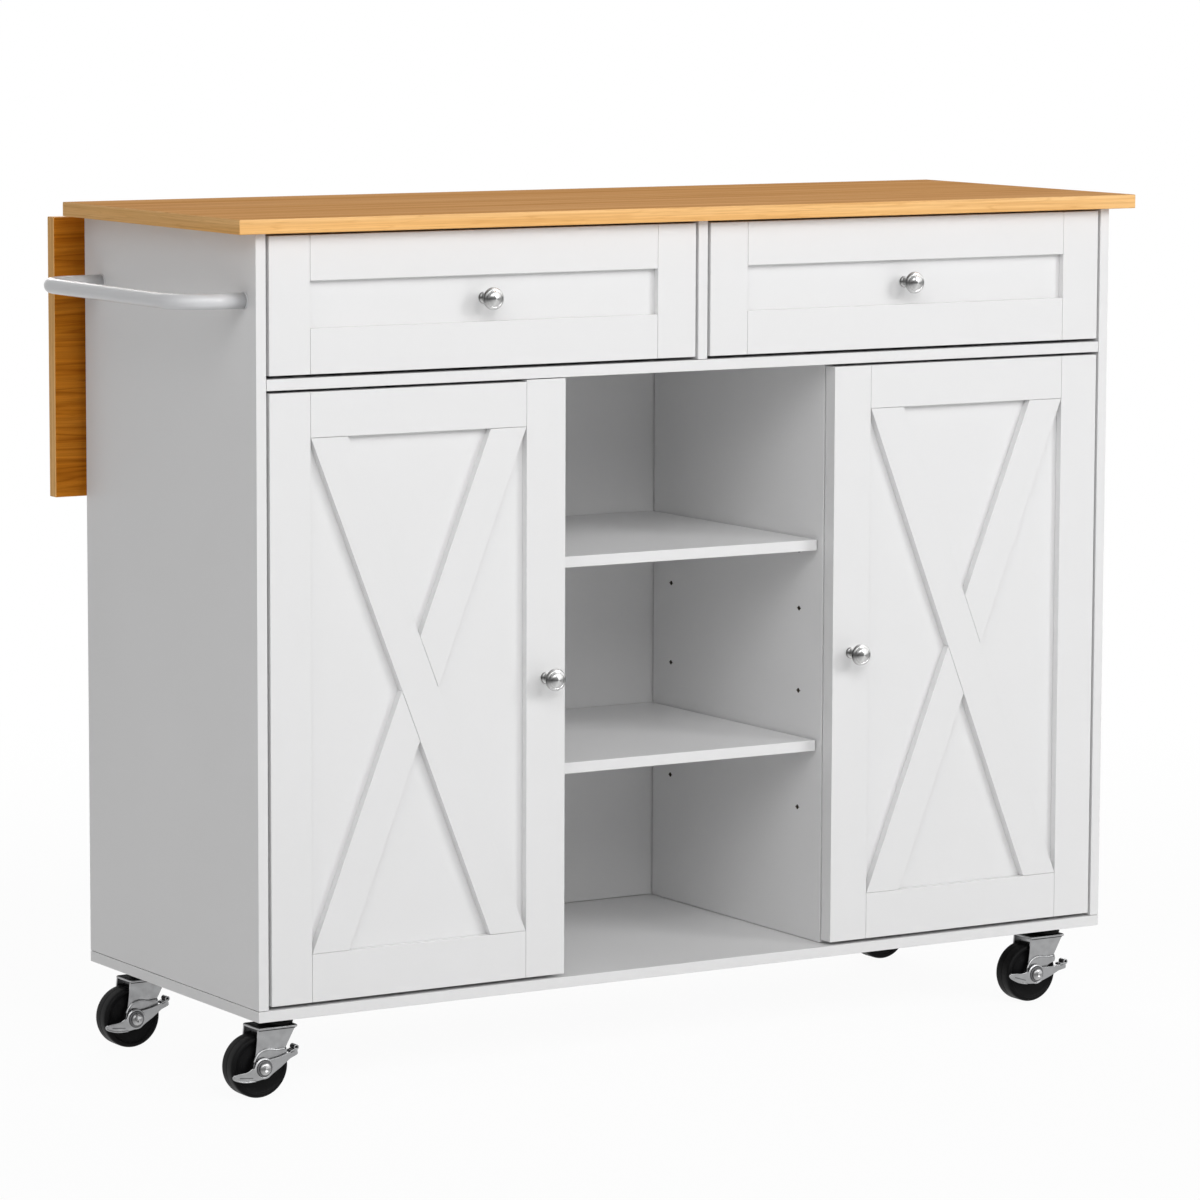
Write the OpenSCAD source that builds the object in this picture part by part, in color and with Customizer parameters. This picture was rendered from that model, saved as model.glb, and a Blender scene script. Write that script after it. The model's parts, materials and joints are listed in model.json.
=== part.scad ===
// Drop leaf kitchen island on four braked casters.
// X runs along the front to the right, Y from the front to the back, Z up.
// The origin lies on the floor, under the middle of the overall box.

/* [Cabinet] */
// Width of the cabinet over its side panels
cab_w = 1060; // [960:10:1200]
// Depth of the cabinet over its side panels
cab_d = 385; // [360:5:430]
// Height of the cabinet from the underside of its bottom panel to the worktop
cab_h = 800; // [740:5:860]
// Thickness of the carcass boards
board = 12; // [11:1:16]
// Thickness of the back panel
back_t = 12; // [9:1:15]
// How far the back panel sits in from the rear edges
back_inset = 10; // [6:1:14]
// Clear width of the open middle bay
bay_w = 336; // [280:4:400]
// Height of the drawer bay under the worktop
drawer_bay_h = 146; // [132:2:180]

/* [Worktop and leaf] */
// Thickness of the worktop and of the drop leaf
top_t = 15; // [12:1:22]
// Overhang of the worktop at each side
top_side = 25; // [15:1:40]
// Overhang of the worktop at the front
top_front = 14; // [5:1:24]
// Overhang of the worktop at the back
top_back = 0; // [0:1:6]
// Length of the leaf from its hinged edge to its free edge
leaf_drop = 298; // [285:1:420]
// Gap between the worktop and the raised leaf
leaf_gap = 1; // [0.6:0.2:2]
// Stand-off of the hanging leaf behind the worktop's rear edge
leaf_off = 22; // [21:0.5:27]
// How far the hanging leaf's upper edge lies below the worktop
leaf_low = 2; // [1:0.5:3]

/* [Doors and drawer fronts] */
// Thickness of the doors and drawer fronts
front_t = 18; // [17:1:20]
// Thickness of the panel set into each door frame
door_panel_t = 9; // [6:1:9]
// Thickness of the panel set into each drawer front
drawer_panel_t = 10; // [8:1:10]
// Depth of the rebate that holds each panel's edge
rebate = 8; // [5:1:8]
// Width of the stiles
stile_w = 47; // [47:1:60]
// Width of the upper and lower rails of a drawer front and of a door's upper rail
rail_w = 46.5; // [40:0.5:50]
// Width of a door's lower rail
low_rail_w = 50; // [40:1:70]
// Width of the cross bars, measured level
cross_w = 43; // [30:1:60]
// Gap at the sides of the doors and drawer fronts
side_gap = 3; // [2.6:0.2:4]
// Gap over the doors and drawer fronts
top_gap = 2.5; // [1.5:0.5:4]
// Gap under the doors
low_gap = 3.5; // [2:0.5:5]
// Gap under the drawer fronts
drawer_gap = 3; // [2:0.5:5]

/* [Knobs] */
// Diameter of a knob's head
knob_d = 23.5; // [18:0.5:30]
// Projection of a knob from the face that carries it
knob_len = 26; // [25:1:32]
// Diameter of a knob's foot
knob_foot_d = 12.5; // [11:0.5:16]
// Height of the door knobs above the door's middle
knob_rise = 3; // [-60:1:60]
// Diameter of the knob screws
knob_screw_d = 4; // [3:0.5:5]

/* [Drawers] */
// Thickness of the drawer box sides
box_t = 12; // [10:1:13]
// Height of the drawer box sides
box_h = 96; // [84:2:104]
// Thickness of the drawer bottoms
box_floor_t = 4; // [3:0.5:6]
// Space that a slide takes beside the drawer box
slide_w = 12.7; // [12.7:0.1:14]
// Height of a slide
slide_h = 45; // [40:1:50]
// Sheet thickness of the slides
slide_sheet = 1.2; // [1:0.1:1.4]
// Running gap between the members of a slide
slide_gap = 0.5; // [0.3:0.1:0.7]

/* [Shelves] */
// Thickness of the shelves
shelf_t = 12; // [10:1:18]
// Distance of the open shelves' front edge from the cabinet front
shelf_set = 28; // [24:1:60]
// Height of the upper shelf's pins over the bottom panel's underside
upper_pin_z = 437; // [400:1:470]
// Height of the lower shelf's pins over the bottom panel's underside
lower_pin_z = 219; // [190:1:250]
// Height of the cupboard shelves' pins over the bottom panel's underside
side_pin_z = 328; // [325:1:331]
// Spacing of the pin holes in a column
pin_step = 64; // [48:16:64]
// Diameter of the shelf pins
pin_d = 5; // [4:0.5:6]
// Depth of the pin holes
pin_hole = 8; // [6:1:9]
// Distance of the front pin column from the cabinet front
pin_front = 66; // [55:1:90]
// Distance of the rear pin column from the cabinet's rear edge
pin_rear = 61; // [50:1:90]

/* [Towel bar] */
// Diameter of the towel bar
bar_d = 16; // [12:1:20]
// Distance from the side panel to the bar's centre line
bar_reach = 72; // [60:1:100]
// Radius of the bar's bends at the centre line
bar_bend = 38; // [20:1:45]
// Distance of the front mount from the cabinet front
bar_front = 25; // [20:1:50]
// Distance of the rear mount from the cabinet's rear edge
bar_rear = 40; // [20:1:60]
// Distance of the bar below the worktop
bar_low = 68; // [50:1:75]

/* [Casters] */
// Height of a caster from the floor to the cabinet's underside
caster_h = 83; // [82:1:95]
// Diameter of a wheel
wheel_d = 65; // [58:1:66]
// Width of a wheel's tread
wheel_w = 25; // [20:1:27]
// Trail of the wheel behind the swivel axis
trail = 24; // [20:1:26]
// Distance of the left swivel axes from the cabinet's left side
caster_left = 38; // [32:1:80]
// Distance of the right swivel axes from the cabinet's right side
caster_right = 50; // [32:1:80]
// Distance of the front swivel axes from the cabinet front
caster_front = 36; // [32:1:70]
// Distance of the rear swivel axes from the cabinet's rear edge
caster_rear = 60; // [32:1:80]

/* [Fits] */
// Radial clearance of pins, bolts and dowels in their bores
fit = 0.05; // [0.03:0.01:0.1]
// Clearance at the ends of dowels and screws
end_fit = 0.3; // [0.2:0.1:1]

/* [Hidden] */
$fn = 48;
cut = 1; // how far cutting tools run past a face

paint = "whitesmoke";
wood = "burlywood";
steel = "silver";
bright = "gainsboro";
bar_paint = "lightgray";
black = "dimgray";

// Cabinet frame: its own zero lies at the front left of the carcass, on the floor
bar_out = bar_reach + bar_d / 2;
back_reach = cab_d + top_back + leaf_off + top_t;
cab_x0 = (bar_out - top_side) / 2 - cab_w / 2;
cab_y0 = (knob_len - back_reach) / 2;
z_base = caster_h;
z_floor = z_base + board;
z_top = z_base + cab_h;
z_mid = z_top - drawer_bay_h;
z_mid_low = z_mid - board;
y_back_out = cab_d - back_inset;
y_back_in = y_back_out - back_t;
bay_x0 = (cab_w - bay_w) / 2;
bay_x1 = bay_x0 + bay_w;

panel_slack = 0.1; // round a panel in its rebate or groove

// Doors
door_w = bay_x0 - board - side_gap;
door_x0 = board + side_gap;
door_z0 = z_floor + low_gap;
door_h = z_mid_low - top_gap - door_z0;
door_back_gap = 1; // between a closed door and the divider's front edge
recess_w = door_w - 2 * stile_w;
recess_h = door_h - rail_w - low_rail_w;

// Fasteners of the towel bar and of the wall arms
bar_bolt_d = 5;
bar_bolt_in = 18;
bar_head_d = 10;
bolt_head_low = 3; // height of a bolt's head inside the cabinet
wall_bolt_d = 6;
wall_head_d = 12;
wall_nut_d = 11;
wall_nut_t = 4.5;
wall_bolt_out = 2; // past the wall arm, inside the nut

// Drawer fronts and boxes
drawer_open_x1 = cab_w / 2 - board / 2;
drawer_w = drawer_open_x1 - side_gap - door_x0;
drawer_z0 = z_mid + drawer_gap;
drawer_h = z_top - top_gap - drawer_z0;
box_rear_gap = 15;
box_low = 10; // space under the drawer box
slide_rear_gap = 6; // from the slide's end to the box's rear face
slide_front_gap = 4; // from the drawer front to the slide's end
slide_lip = 3.2; // how far the outer rail stays back from the drawer box
box_x0 = board + slide_w;
box_w = drawer_open_x1 - slide_w - box_x0;
box_y1 = y_back_in - box_rear_gap;
box_z0 = z_mid + box_low;
box_groove = 6; // groove depth of the drawer bottom
box_floor_up = 10; // bottom's height over the sides' lower edge
slide_y0 = front_t + slide_front_gap;
slide_len = box_y1 - slide_rear_gap - slide_y0;
slide_under = 3; // between the towel bar's bolt heads and the slide
slide_z = z_top - bar_low - bar_head_d / 2 - slide_under - slide_h / 2;

// Door hinges: the pin stands this far from the door's edge and front face
hinge_end = 95; // hinge centre from the door's upper and lower edge
hinge_in = 20;
cup_d = 35;
cup_in = 21; // cup centre from the door's edge
cup_deep = 12.6;
cup_wall = 0.8;
cup_flange_d = 38;
cup_flange_t = 1.2;
hinge_pin_d = 2.6;
barrel_d = 5.6;
barrel_gap = 0.5; // between the barrel and the cup's floor
hinge_deep = front_t - cup_deep + cup_wall + barrel_gap + barrel_d / 2;
arm_h = 9;
swing_gap = 2.5; // between the door's swinging corner and what it passes
arm_bow_r = norm([hinge_in, hinge_deep]) + swing_gap; // inner radius of the bow round the pin
arm_t = 3;
arm_from = 41; // where the neck meets the bow, in degrees
arm_to = 122; // where the bow meets the foot, in degrees
plate_len = 40;
plate_h = 42;
plate_t = 2;
plate_back = 12; // from the door's back face to the wall plate
plate_screw = 15; // half the spacing of a plate's screws
plate_screw_in = 9;
wall_x = hinge_in + side_gap; // from the pin to the side panel
arm_foot_sink = 0.8; // the foot's face before the end of the bow
arm_foot_in = 1.2; // how far the foot reaches into the bow
cupboard_set = hinge_deep + arm_bow_r; // the cupboard shelves stay behind the swinging corner

// Folding brackets: the leaf's pivot behind and below the worktop's edge
pivot_back = (leaf_off + leaf_gap - leaf_low) / 2;
pivot_low = leaf_off - pivot_back;
pivot_y = cab_d + top_back + pivot_back;
pivot_z = z_top - pivot_low;
bracket_x = 350; // bracket centres from the middle of the cabinet
bracket_sheet = 2;
wall_arm_w = 30;
wall_arm_low = 2; // the arm's upper end below the worktop
wall_bolt_up = 30; // upper bolt below the leaf pivot
wall_bolt_down = 14; // lower bolt under the middle panel
wall_bolt_end = 12; // lower bolt from the arm's lower end
wall_arm_len = drawer_bay_h + board + wall_bolt_down + wall_bolt_end - wall_arm_low;
leaf_arm_w = 24.6;
leaf_arm_end = 24; // the leaf arm past the resting roller
bracket_pin_d = 6;
pin_out = 1; // a bracket pin's end past the wall arm
brace_drop = 100; // brace pivot below the leaf pivot
brace_len = 150;
leaf_arm_len = brace_drop + brace_len + leaf_arm_end;
brace_w = 13;
brace_half = 8.5;
brace_tube_d = 10; // the tube round a brace's pin
roller_gap = 0.3;
wall_off = pivot_y - y_back_out;
roller_r = pivot_low - bracket_sheet - roller_gap;

// Casters
stem_d = 8;
stem_in = 10; // depth of the stem in the bottom panel
race_d = 36;
race_t = 9.3;
kingpin_d = 10;
kingpin_head_d = 15;
kingpin_head_t = 2;
fork_sheet = 2;
fork_gap = 2; // between the tread and a fork leg
fork_rim = 0.8; // the fork's top plate past its legs
fork_half = wheel_w / 2 + fork_gap + fork_sheet;
fork_x0 = -trail - 5;
fork_x1 = 17;
fork_top = caster_h - race_t;
leg_corner = 3;
leg_foot = [-5.6, 20]; // corner centres of a leg's foot, from the axle
leg_foot_z = 11;
leg_eye_r = 10;
leg_inset = 0.5; // a leg's upper end within the top plate
axle_d = 8;
axle_z = wheel_d / 2;
hub_d = 22;
side_play = 0.3;
spacer_d = 19;
spacer_t = 3; // between a fork leg and its brake lever
lever_t = 1.6;
lever_eye_d = 22;
lever_y = fork_half + spacer_t + side_play; // from the wheel's middle to the lever's inner face
tab_w = 9;
tab_len = 5.5;
tab_gap = 1.8; // between the tread and the lever's tab
tab_sink = 0.9; // the tab's underside below the line from the axle
tab_tilt = 22;
lever_for = 65; // wheel diameter that the lever's outline is drawn for
brake_on = 12; // how far the tab of a set brake is pressed down, in degrees
lever_turns = [0, brake_on, 0, 0];
axle_head_d = 13;
axle_head_t = 3.5;
axle_nut_t = 4;
axle_end = 5; // the axle past the rear leg
washer_d = 17;
washer_t = 1;
screw_d = 4;
screw_head_d = 7.5;
screw_head_t = 2;
leaf_screw_head = 1.2;
leaf_screw_in = 11;
knob_screw_in = 12;
knob_head_d = 8.5;
knob_head_t = 2.2;

// Dowels: pin diameter, depth in the bored face and in the bored edge
dowel_d = 6;
dowel_face = 8;
dowel_edge = 16;
dowel_inset = 60; // from the front and rear edges
dowel_ys = [dowel_inset, cab_d - dowel_inset];

module at_cabinet() {
  translate([cab_x0, cab_y0, 0]) children();
}

// Repeats a piece of the left half on the right
module right_side() {
  translate([cab_w, 0, 0]) mirror([1, 0, 0]) children();
}

module both_sides() {
  children();
  right_side() children();
}

module box_from(low, high) {
  translate(low) cube(high - low);
}

// ---------- dowels ----------

// Each spot is a point on a joint and the turn that leads into the bored edge
dowel_spots = [
  for (y = dowel_ys) each [
    for (x = [board / 2, bay_x0 - board / 2, bay_x1 + board / 2, cab_w - board / 2])
      [[x, y, z_floor], [0, 0, 0]],
    for (x = [bay_x0 - board / 2, bay_x1 + board / 2]) [[x, y, z_mid_low], [180, 0, 0]],
    [[cab_w / 2, y, z_mid], [0, 0, 0]],
    for (x = [board / 2, cab_w / 2, cab_w - board / 2]) [[x, y, z_top], [180, 0, 0]],
    [[board, y, z_mid - board / 2], [0, 90, 0]],
    [[cab_w - board, y, z_mid - board / 2], [0, -90, 0]]
  ]
];

module dowel_set(slack = 0, end_slack = 0) {
  for (s = dowel_spots)
    translate(s[0]) rotate(s[1])
      translate([0, 0, -dowel_face - end_slack])
        cylinder(d = dowel_d + 2 * slack, h = dowel_face + dowel_edge + 2 * end_slack);
}

module carcass_dowels() {
  color(wood) at_cabinet() dowel_set();
}

// ---------- shelf pins ----------

pin_ys = [pin_front, cab_d - pin_rear];
upper_holes = [for (k = [-1, 0]) z_base + upper_pin_z + k * pin_step];
lower_holes = [for (k = [-1, 0, 1]) z_base + lower_pin_z + k * pin_step];
side_holes = [for (k = [-1, 0, 1]) z_base + side_pin_z + k * pin_step / 2];

// Pin holes run from the face at x into the board, towards side
module pin_holes(x, side, heights) {
  for (y = pin_ys, z = heights)
    translate([x, y, z]) rotate([0, 90 * side, 0])
      translate([0, 0, -cut]) cylinder(d = pin_d + 2 * fit, h = pin_hole + cut);
}

// A pin has a peg in the hole, a thin collar and a bearing peg under the shelf
module shelf_pin(x, y, z, side) {
  peg_out = 9;
  collar_t = 0.8;
  translate([x, y, z]) rotate([0, 90 * side, 0]) {
    translate([0, 0, -peg_out]) cylinder(d = pin_d, h = peg_out + pin_hole - end_fit);
    translate([0, 0, -collar_t]) cylinder(d = pin_d + 2, h = collar_t);
  }
}

module shelf_pins() {
  color(bright) at_cabinet() both_sides()
    for (y = pin_ys) {
      shelf_pin(bay_x0, y, z_base + upper_pin_z, -1);
      shelf_pin(bay_x0, y, z_base + lower_pin_z, -1);
      shelf_pin(board, y, z_base + side_pin_z, -1);
      shelf_pin(bay_x0 - board, y, z_base + side_pin_z, 1);
    }
}

// ---------- carcass ----------

bracket_bolt_zs = [pivot_z - wall_bolt_up, z_mid_low - wall_bolt_down];

module at_bracket_bolts() {
  for (x = [cab_w / 2 - bracket_x, cab_w / 2 + bracket_x], z = bracket_bolt_zs)
    translate([x, y_back_in, z]) rotate([-90, 0, 0]) children();
}

module bracket_bolts() {
  at_bracket_bolts() {
    cylinder(d = wall_bolt_d, h = back_t + bracket_sheet + wall_bolt_out);
    translate([0, 0, -bolt_head_low]) cylinder(d = wall_head_d, h = bolt_head_low);
    translate([0, 0, back_t + bracket_sheet]) cylinder(d = wall_nut_d, h = wall_nut_t, $fn = 6);
  }
}

module bracket_bolt_holes() {
  at_bracket_bolts() translate([0, 0, -cut])
    cylinder(d = wall_bolt_d + 2 * fit, h = back_t + bracket_sheet + 2 * cut);
}

module at_bar_bolts() {
  for (y = [bar_front, cab_d - bar_rear])
    translate([board, y, z_top - bar_low]) rotate([0, -90, 0]) children();
}

module bar_bolts() {
  at_bar_bolts() {
    cylinder(d = bar_bolt_d, h = board + bar_bolt_in);
    translate([0, 0, -bolt_head_low]) cylinder(d = bar_head_d, h = bolt_head_low);
  }
}

module bar_bolt_holes() {
  at_bar_bolts() translate([0, 0, -cut]) cylinder(d = bar_bolt_d + 2 * fit, h = board + 2 * cut);
}

// Swivel axes of the casters in the cabinet frame
caster_spots = [
  [caster_left, caster_front], [cab_w - caster_right, caster_front],
  [caster_left, cab_d - caster_rear], [cab_w - caster_right, cab_d - caster_rear]
];

module stem_holes() {
  for (c = caster_spots) translate([c[0], c[1], z_base - cut])
    cylinder(d = stem_d + 2 * fit, h = stem_in + end_fit + cut);
}

// A screw's zero lies on the wall plate's face, and it points into the side panel
module at_hinge_screws() {
  for (z = [door_z0 + hinge_end, door_z0 + door_h - hinge_end], dz = [-plate_screw, plate_screw])
    translate([board + plate_t, front_t + plate_back + plate_len / 2, z + dz])
      rotate([0, -90, 0]) children();
}

module hinge_screws() {
  at_hinge_screws() {
    cylinder(d = screw_d, h = plate_t + plate_screw_in);
    translate([0, 0, -screw_head_t]) cylinder(d = screw_head_d, h = screw_head_t);
  }
}

module hinge_screw_holes() {
  at_hinge_screws() translate([0, 0, -cut])
    cylinder(d = screw_d + 2 * fit, h = plate_t + plate_screw_in + fit + cut);
}

module cabinet_screws() {
  color(steel) at_cabinet() {
    bar_bolts();
    bracket_bolts();
    both_sides() hinge_screws();
  }
}

module bottom_panel() {
  color(paint) at_cabinet() difference() {
    box_from([0, 0, z_base], [cab_w, cab_d, z_floor]);
    dowel_set(fit, end_fit);
    stem_holes();
  }
}

module left_side_panel() {
  color(paint) at_cabinet() difference() {
    box_from([0, 0, z_floor], [board, cab_d, z_top]);
    dowel_set(fit, end_fit);
    bar_bolt_holes();
    hinge_screw_holes();
    pin_holes(board, -1, side_holes);
  }
}

module right_side_panel() {
  color(paint) at_cabinet() difference() {
    box_from([cab_w - board, 0, z_floor], [cab_w, cab_d, z_top]);
    dowel_set(fit, end_fit);
    right_side() hinge_screw_holes();
    pin_holes(cab_w - board, 1, side_holes);
  }
}

module middle_panel() {
  color(paint) at_cabinet() difference() {
    box_from([board, 0, z_mid_low], [cab_w - board, y_back_in, z_mid]);
    dowel_set(fit, end_fit);
  }
}

module divider() {
  difference() {
    box_from([bay_x0 - board, front_t + door_back_gap, z_floor], [bay_x0, y_back_in, z_mid_low]);
    dowel_set(fit, end_fit);
    pin_holes(bay_x0, -1, upper_holes);
    pin_holes(bay_x0, -1, lower_holes);
    pin_holes(bay_x0 - board, 1, side_holes);
  }
}

module left_divider() {
  color(paint) at_cabinet() divider();
}

module right_divider() {
  color(paint) at_cabinet() right_side() divider();
}

module drawer_divider() {
  color(paint) at_cabinet() difference() {
    box_from([drawer_open_x1, 0, z_mid], [drawer_open_x1 + board, y_back_in, z_top]);
    dowel_set(fit, end_fit);
  }
}

module back_panel() {
  color(paint) at_cabinet() difference() {
    box_from([board, y_back_in, z_floor], [cab_w - board, y_back_out, z_top]);
    bracket_bolt_holes();
  }
}

module worktop() {
  color(wood) at_cabinet() difference() {
    box_from([-top_side, -top_front, z_top], [cab_w + top_side, cab_d + top_back, z_top + top_t]);
    dowel_set(fit, end_fit);
  }
}

// ---------- shelves ----------

shelf_side_gap = 1;
shelf_rest = 0.1; // between a pin and the shelf on it

module shelf(x0, x1, pin_z, front) {
  z = z_base + pin_z + pin_d / 2 + shelf_rest;
  low = [x0 + shelf_side_gap, front, z];
  high = [x1 - shelf_side_gap, y_back_in - shelf_side_gap, z + shelf_t];
  box_from(low, high);
}

module upper_shelf() {
  color(paint) at_cabinet() shelf(bay_x0, bay_x1, upper_pin_z, shelf_set);
}

module lower_shelf() {
  color(paint) at_cabinet() shelf(bay_x0, bay_x1, lower_pin_z, shelf_set);
}

module cupboard_shelves() {
  color(paint) at_cabinet() both_sides() shelf(board, bay_x0 - board, side_pin_z, cupboard_set);
}

// ---------- towel bar ----------

module towel_bar() {
  length = cab_d - bar_rear - bar_front;
  color(bar_paint) at_cabinet() translate([0, bar_front, z_top - bar_low]) difference() {
    union() {
      for (y = [0, length]) translate([bar_bend - bar_reach, y, 0]) rotate([0, 90, 0])
        cylinder(d = bar_d, h = bar_reach - bar_bend);
      translate([-bar_reach, bar_bend, 0]) rotate([-90, 0, 0])
        cylinder(d = bar_d, h = length - 2 * bar_bend);
      translate([bar_bend - bar_reach, bar_bend, 0]) rotate([0, 0, 180])
        rotate_extrude(angle = 90) translate([bar_bend, 0]) circle(d = bar_d);
      translate([bar_bend - bar_reach, length - bar_bend, 0]) rotate([0, 0, 90])
        rotate_extrude(angle = 90) translate([bar_bend, 0]) circle(d = bar_d);
    }
    for (y = [0, length]) translate([cut, y, 0]) rotate([0, -90, 0])
      cylinder(d = bar_bolt_d + 2 * fit, h = bar_bolt_in + end_fit + cut);
  }
}

// ---------- doors ----------

// A framed front: two full-height stiles, two rails between them, rebated at the back for the panel
module framed_front(w, h, low_w, up_w, panel_t) {
  difference() {
    for (x = [0, w - stile_w]) translate([x, 0, 0]) cube([stile_w, front_t, h]);
    front_rebate(w, h, low_w, up_w, panel_t);
  }
  difference() {
    for (z = [0, h - up_w])
      translate([stile_w, 0, z]) cube([w - 2 * stile_w, front_t, z == 0 ? low_w : up_w]);
    front_rebate(w, h, low_w, up_w, panel_t);
  }
}

module front_rebate(w, h, low_w, up_w, panel_t) {
  translate([stile_w - rebate, front_t - panel_t, low_w - rebate])
    cube([w - 2 * stile_w + 2 * rebate, panel_t + cut, h - low_w - up_w + 2 * rebate]);
}

module front_panel(w, h, low_w, up_w, panel_t) {
  lap = rebate - panel_slack;
  translate([stile_w - lap, front_t - panel_t, low_w - lap])
    cube([w - 2 * (stile_w - lap), panel_t, h - low_w - up_w + 2 * lap]);
}

// Two hinges at equal distances from the door's ends
module at_hinges() {
  for (z = [hinge_end, door_h - hinge_end]) translate([0, 0, z]) children();
}

module knob_bore(depth) {
  translate([0, -cut, 0]) rotate([-90, 0, 0]) cylinder(d = knob_screw_d + 2 * fit, h = depth + 2 * cut);
}

// Where the knob sits on a door, seen from the door's lower left corner
door_knob_at = [door_w - stile_w / 2, 0, door_h / 2 + knob_rise];

module door_frame() {
  difference() {
    framed_front(door_w, door_h, low_rail_w, rail_w, door_panel_t);
    at_hinges() translate([cup_in, front_t + cut, 0]) rotate([90, 0, 0])
      cylinder(d = cup_d + 2 * fit, h = cup_deep + cut);
    translate(door_knob_at) knob_bore(front_t);
  }
}

module door_panel() {
  front_panel(door_w, door_h, low_rail_w, rail_w, door_panel_t);
}

// One bar runs through from corner to corner and the other is in two halves
module bar_outline(flip) {
  a = flip ? recess_w - cross_w : 0;
  b = flip ? 0 : recess_w - cross_w;
  polygon([[a, recess_h], [a + cross_w, recess_h], [b + cross_w, 0], [b, 0]]);
}

module door_cross() {
  depth = front_t - door_panel_t;
  translate([stile_w, depth, low_rail_w]) rotate([90, 0, 0]) {
    linear_extrude(depth) bar_outline(false);
    linear_extrude(depth) difference() {
      bar_outline(true);
      bar_outline(false);
    }
  }
}

// A turned knob on a foot, and the screw that holds it from behind
module knob(hold) {
  neck_r = 4;
  head_t = 9;
  rotate([90, 0, 0]) difference() {
    rotate_extrude() polygon([
      [0, 0], [knob_foot_d / 2, 0], [knob_foot_d / 2, 1.5], [knob_foot_d / 2 - 1.2, 3], [neck_r, 6],
      [neck_r, knob_len - head_t - 2], [knob_d / 2 - 2, knob_len - head_t],
      [knob_d / 2, knob_len - head_t + 2.5], [knob_d / 2, knob_len - 4.5],
      [knob_d / 2 - 1.5, knob_len - 2], [knob_d / 4, knob_len - 0.5], [0, knob_len]
    ]);
    translate([0, 0, -cut]) cylinder(d = knob_screw_d + 2 * fit, h = knob_screw_in + end_fit + cut);
  }
  translate([0, hold, 0]) rotate([90, 0, 0]) {
    cylinder(d = knob_screw_d, h = hold + knob_screw_in);
    translate([0, 0, -knob_head_t]) cylinder(d = knob_head_d, h = knob_head_t);
  }
}

// A cup with its flange and the pin across it
module hinge_cup() {
  translate([cup_in, front_t, 0]) rotate([90, 0, 0]) {
    difference() {
      union() {
        cylinder(d = cup_d, h = cup_deep);
        translate([0, 0, -cup_flange_t]) cylinder(d = cup_flange_d, h = cup_flange_t);
      }
      translate([0, 0, -cup_flange_t - cut])
        cylinder(d = cup_d - 2 * cup_wall, h = cup_deep - cup_wall + cup_flange_t + cut);
    }
  }
  pin_half = (cup_d - cup_wall) / 2 - end_fit;
  translate([hinge_in, hinge_deep, -pin_half]) cylinder(d = hinge_pin_d, h = 2 * pin_half);
}

module at_left_door() {
  at_cabinet() translate([door_x0, 0, door_z0]) children();
}

module at_right_door() {
  at_cabinet() right_side() translate([door_x0, 0, door_z0]) children();
}

module left_door_frame() {
  color(paint) at_left_door() door_frame();
}
module left_door_panel() {
  color(paint) at_left_door() door_panel();
}
module left_door_cross() {
  color(paint) at_left_door() door_cross();
}
module left_door_knob() {
  color(bright) at_left_door() translate(door_knob_at) knob(front_t);
}
module left_door_hinge_cups() {
  color(steel) at_left_door() at_hinges() hinge_cup();
}

module right_door_frame() {
  color(paint) at_right_door() door_frame();
}
module right_door_panel() {
  color(paint) at_right_door() door_panel();
}
// The through bar leans the same way on both doors, so this one isn't mirrored
module right_door_cross() {
  color(paint) at_cabinet() translate([cab_w - door_x0 - door_w, 0, door_z0]) door_cross();
}
module right_door_knob() {
  color(bright) at_right_door() translate(door_knob_at) knob(front_t);
}
module right_door_hinge_cups() {
  color(steel) at_right_door() at_hinges() hinge_cup();
}

// The fixed arm: a barrel on the pin, a neck out of the cup, a bow round the door's edge and a foot
module hinge_arm() {
  foot_y = arm_bow_r * sin(arm_to) - arm_foot_sink;
  linear_extrude(arm_h, center = true) difference() {
    union() {
      circle(d = barrel_d);
      rotate(arm_from) translate([0, -arm_t / 2]) square([arm_bow_r + arm_t / 2, arm_t]);
      arm_bow();
      translate([-wall_x, foot_y]) square([wall_x + arm_bow_r * cos(arm_to) + arm_foot_in, arm_t]);
    }
    circle(d = hinge_pin_d + 2 * fit);
  }
}

// A sector of a ring, from the neck to the foot
module arm_bow() {
  far = 2 * arm_bow_r;
  intersection() {
    difference() {
      circle(r = arm_bow_r + arm_t);
      circle(r = arm_bow_r);
    }
    polygon([[0, 0], for (a = [arm_from, (arm_from + arm_to) / 2, arm_to]) far * [cos(a), sin(a)]]);
  }
}

module hinge_plate() {
  plate_y0 = front_t + plate_back;
  difference() {
    translate([board, plate_y0, -plate_h / 2]) cube([plate_t, plate_len, plate_h]);
    for (dz = [-plate_screw, plate_screw])
      translate([board - cut, plate_y0 + plate_len / 2, dz])
        rotate([0, 90, 0]) cylinder(d = screw_d + 2 * fit, h = plate_t + 2 * cut);
  }
}

module hinge_arms() {
  color(steel) at_cabinet() both_sides() translate([0, 0, door_z0]) at_hinges() {
    translate([door_x0 + hinge_in, hinge_deep, 0]) hinge_arm();
    hinge_plate();
  }
}

// ---------- drawers ----------

module drawer_box() {
  inner_w = box_w - 2 * box_t;
  difference() {
    for (x = [0, box_w - box_t])
      translate([box_x0 + x, front_t, box_z0]) cube([box_t, box_y1 - front_t, box_h]);
    drawer_floor();
  }
  difference() {
    for (y = [front_t, box_y1 - box_t])
      translate([box_x0 + box_t, y, box_z0]) cube([inner_w, box_t, box_h]);
    drawer_floor();
    translate([door_x0 + drawer_w / 2, 0, drawer_z0 + drawer_h / 2]) knob_bore(front_t + box_t);
  }
}

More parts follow.
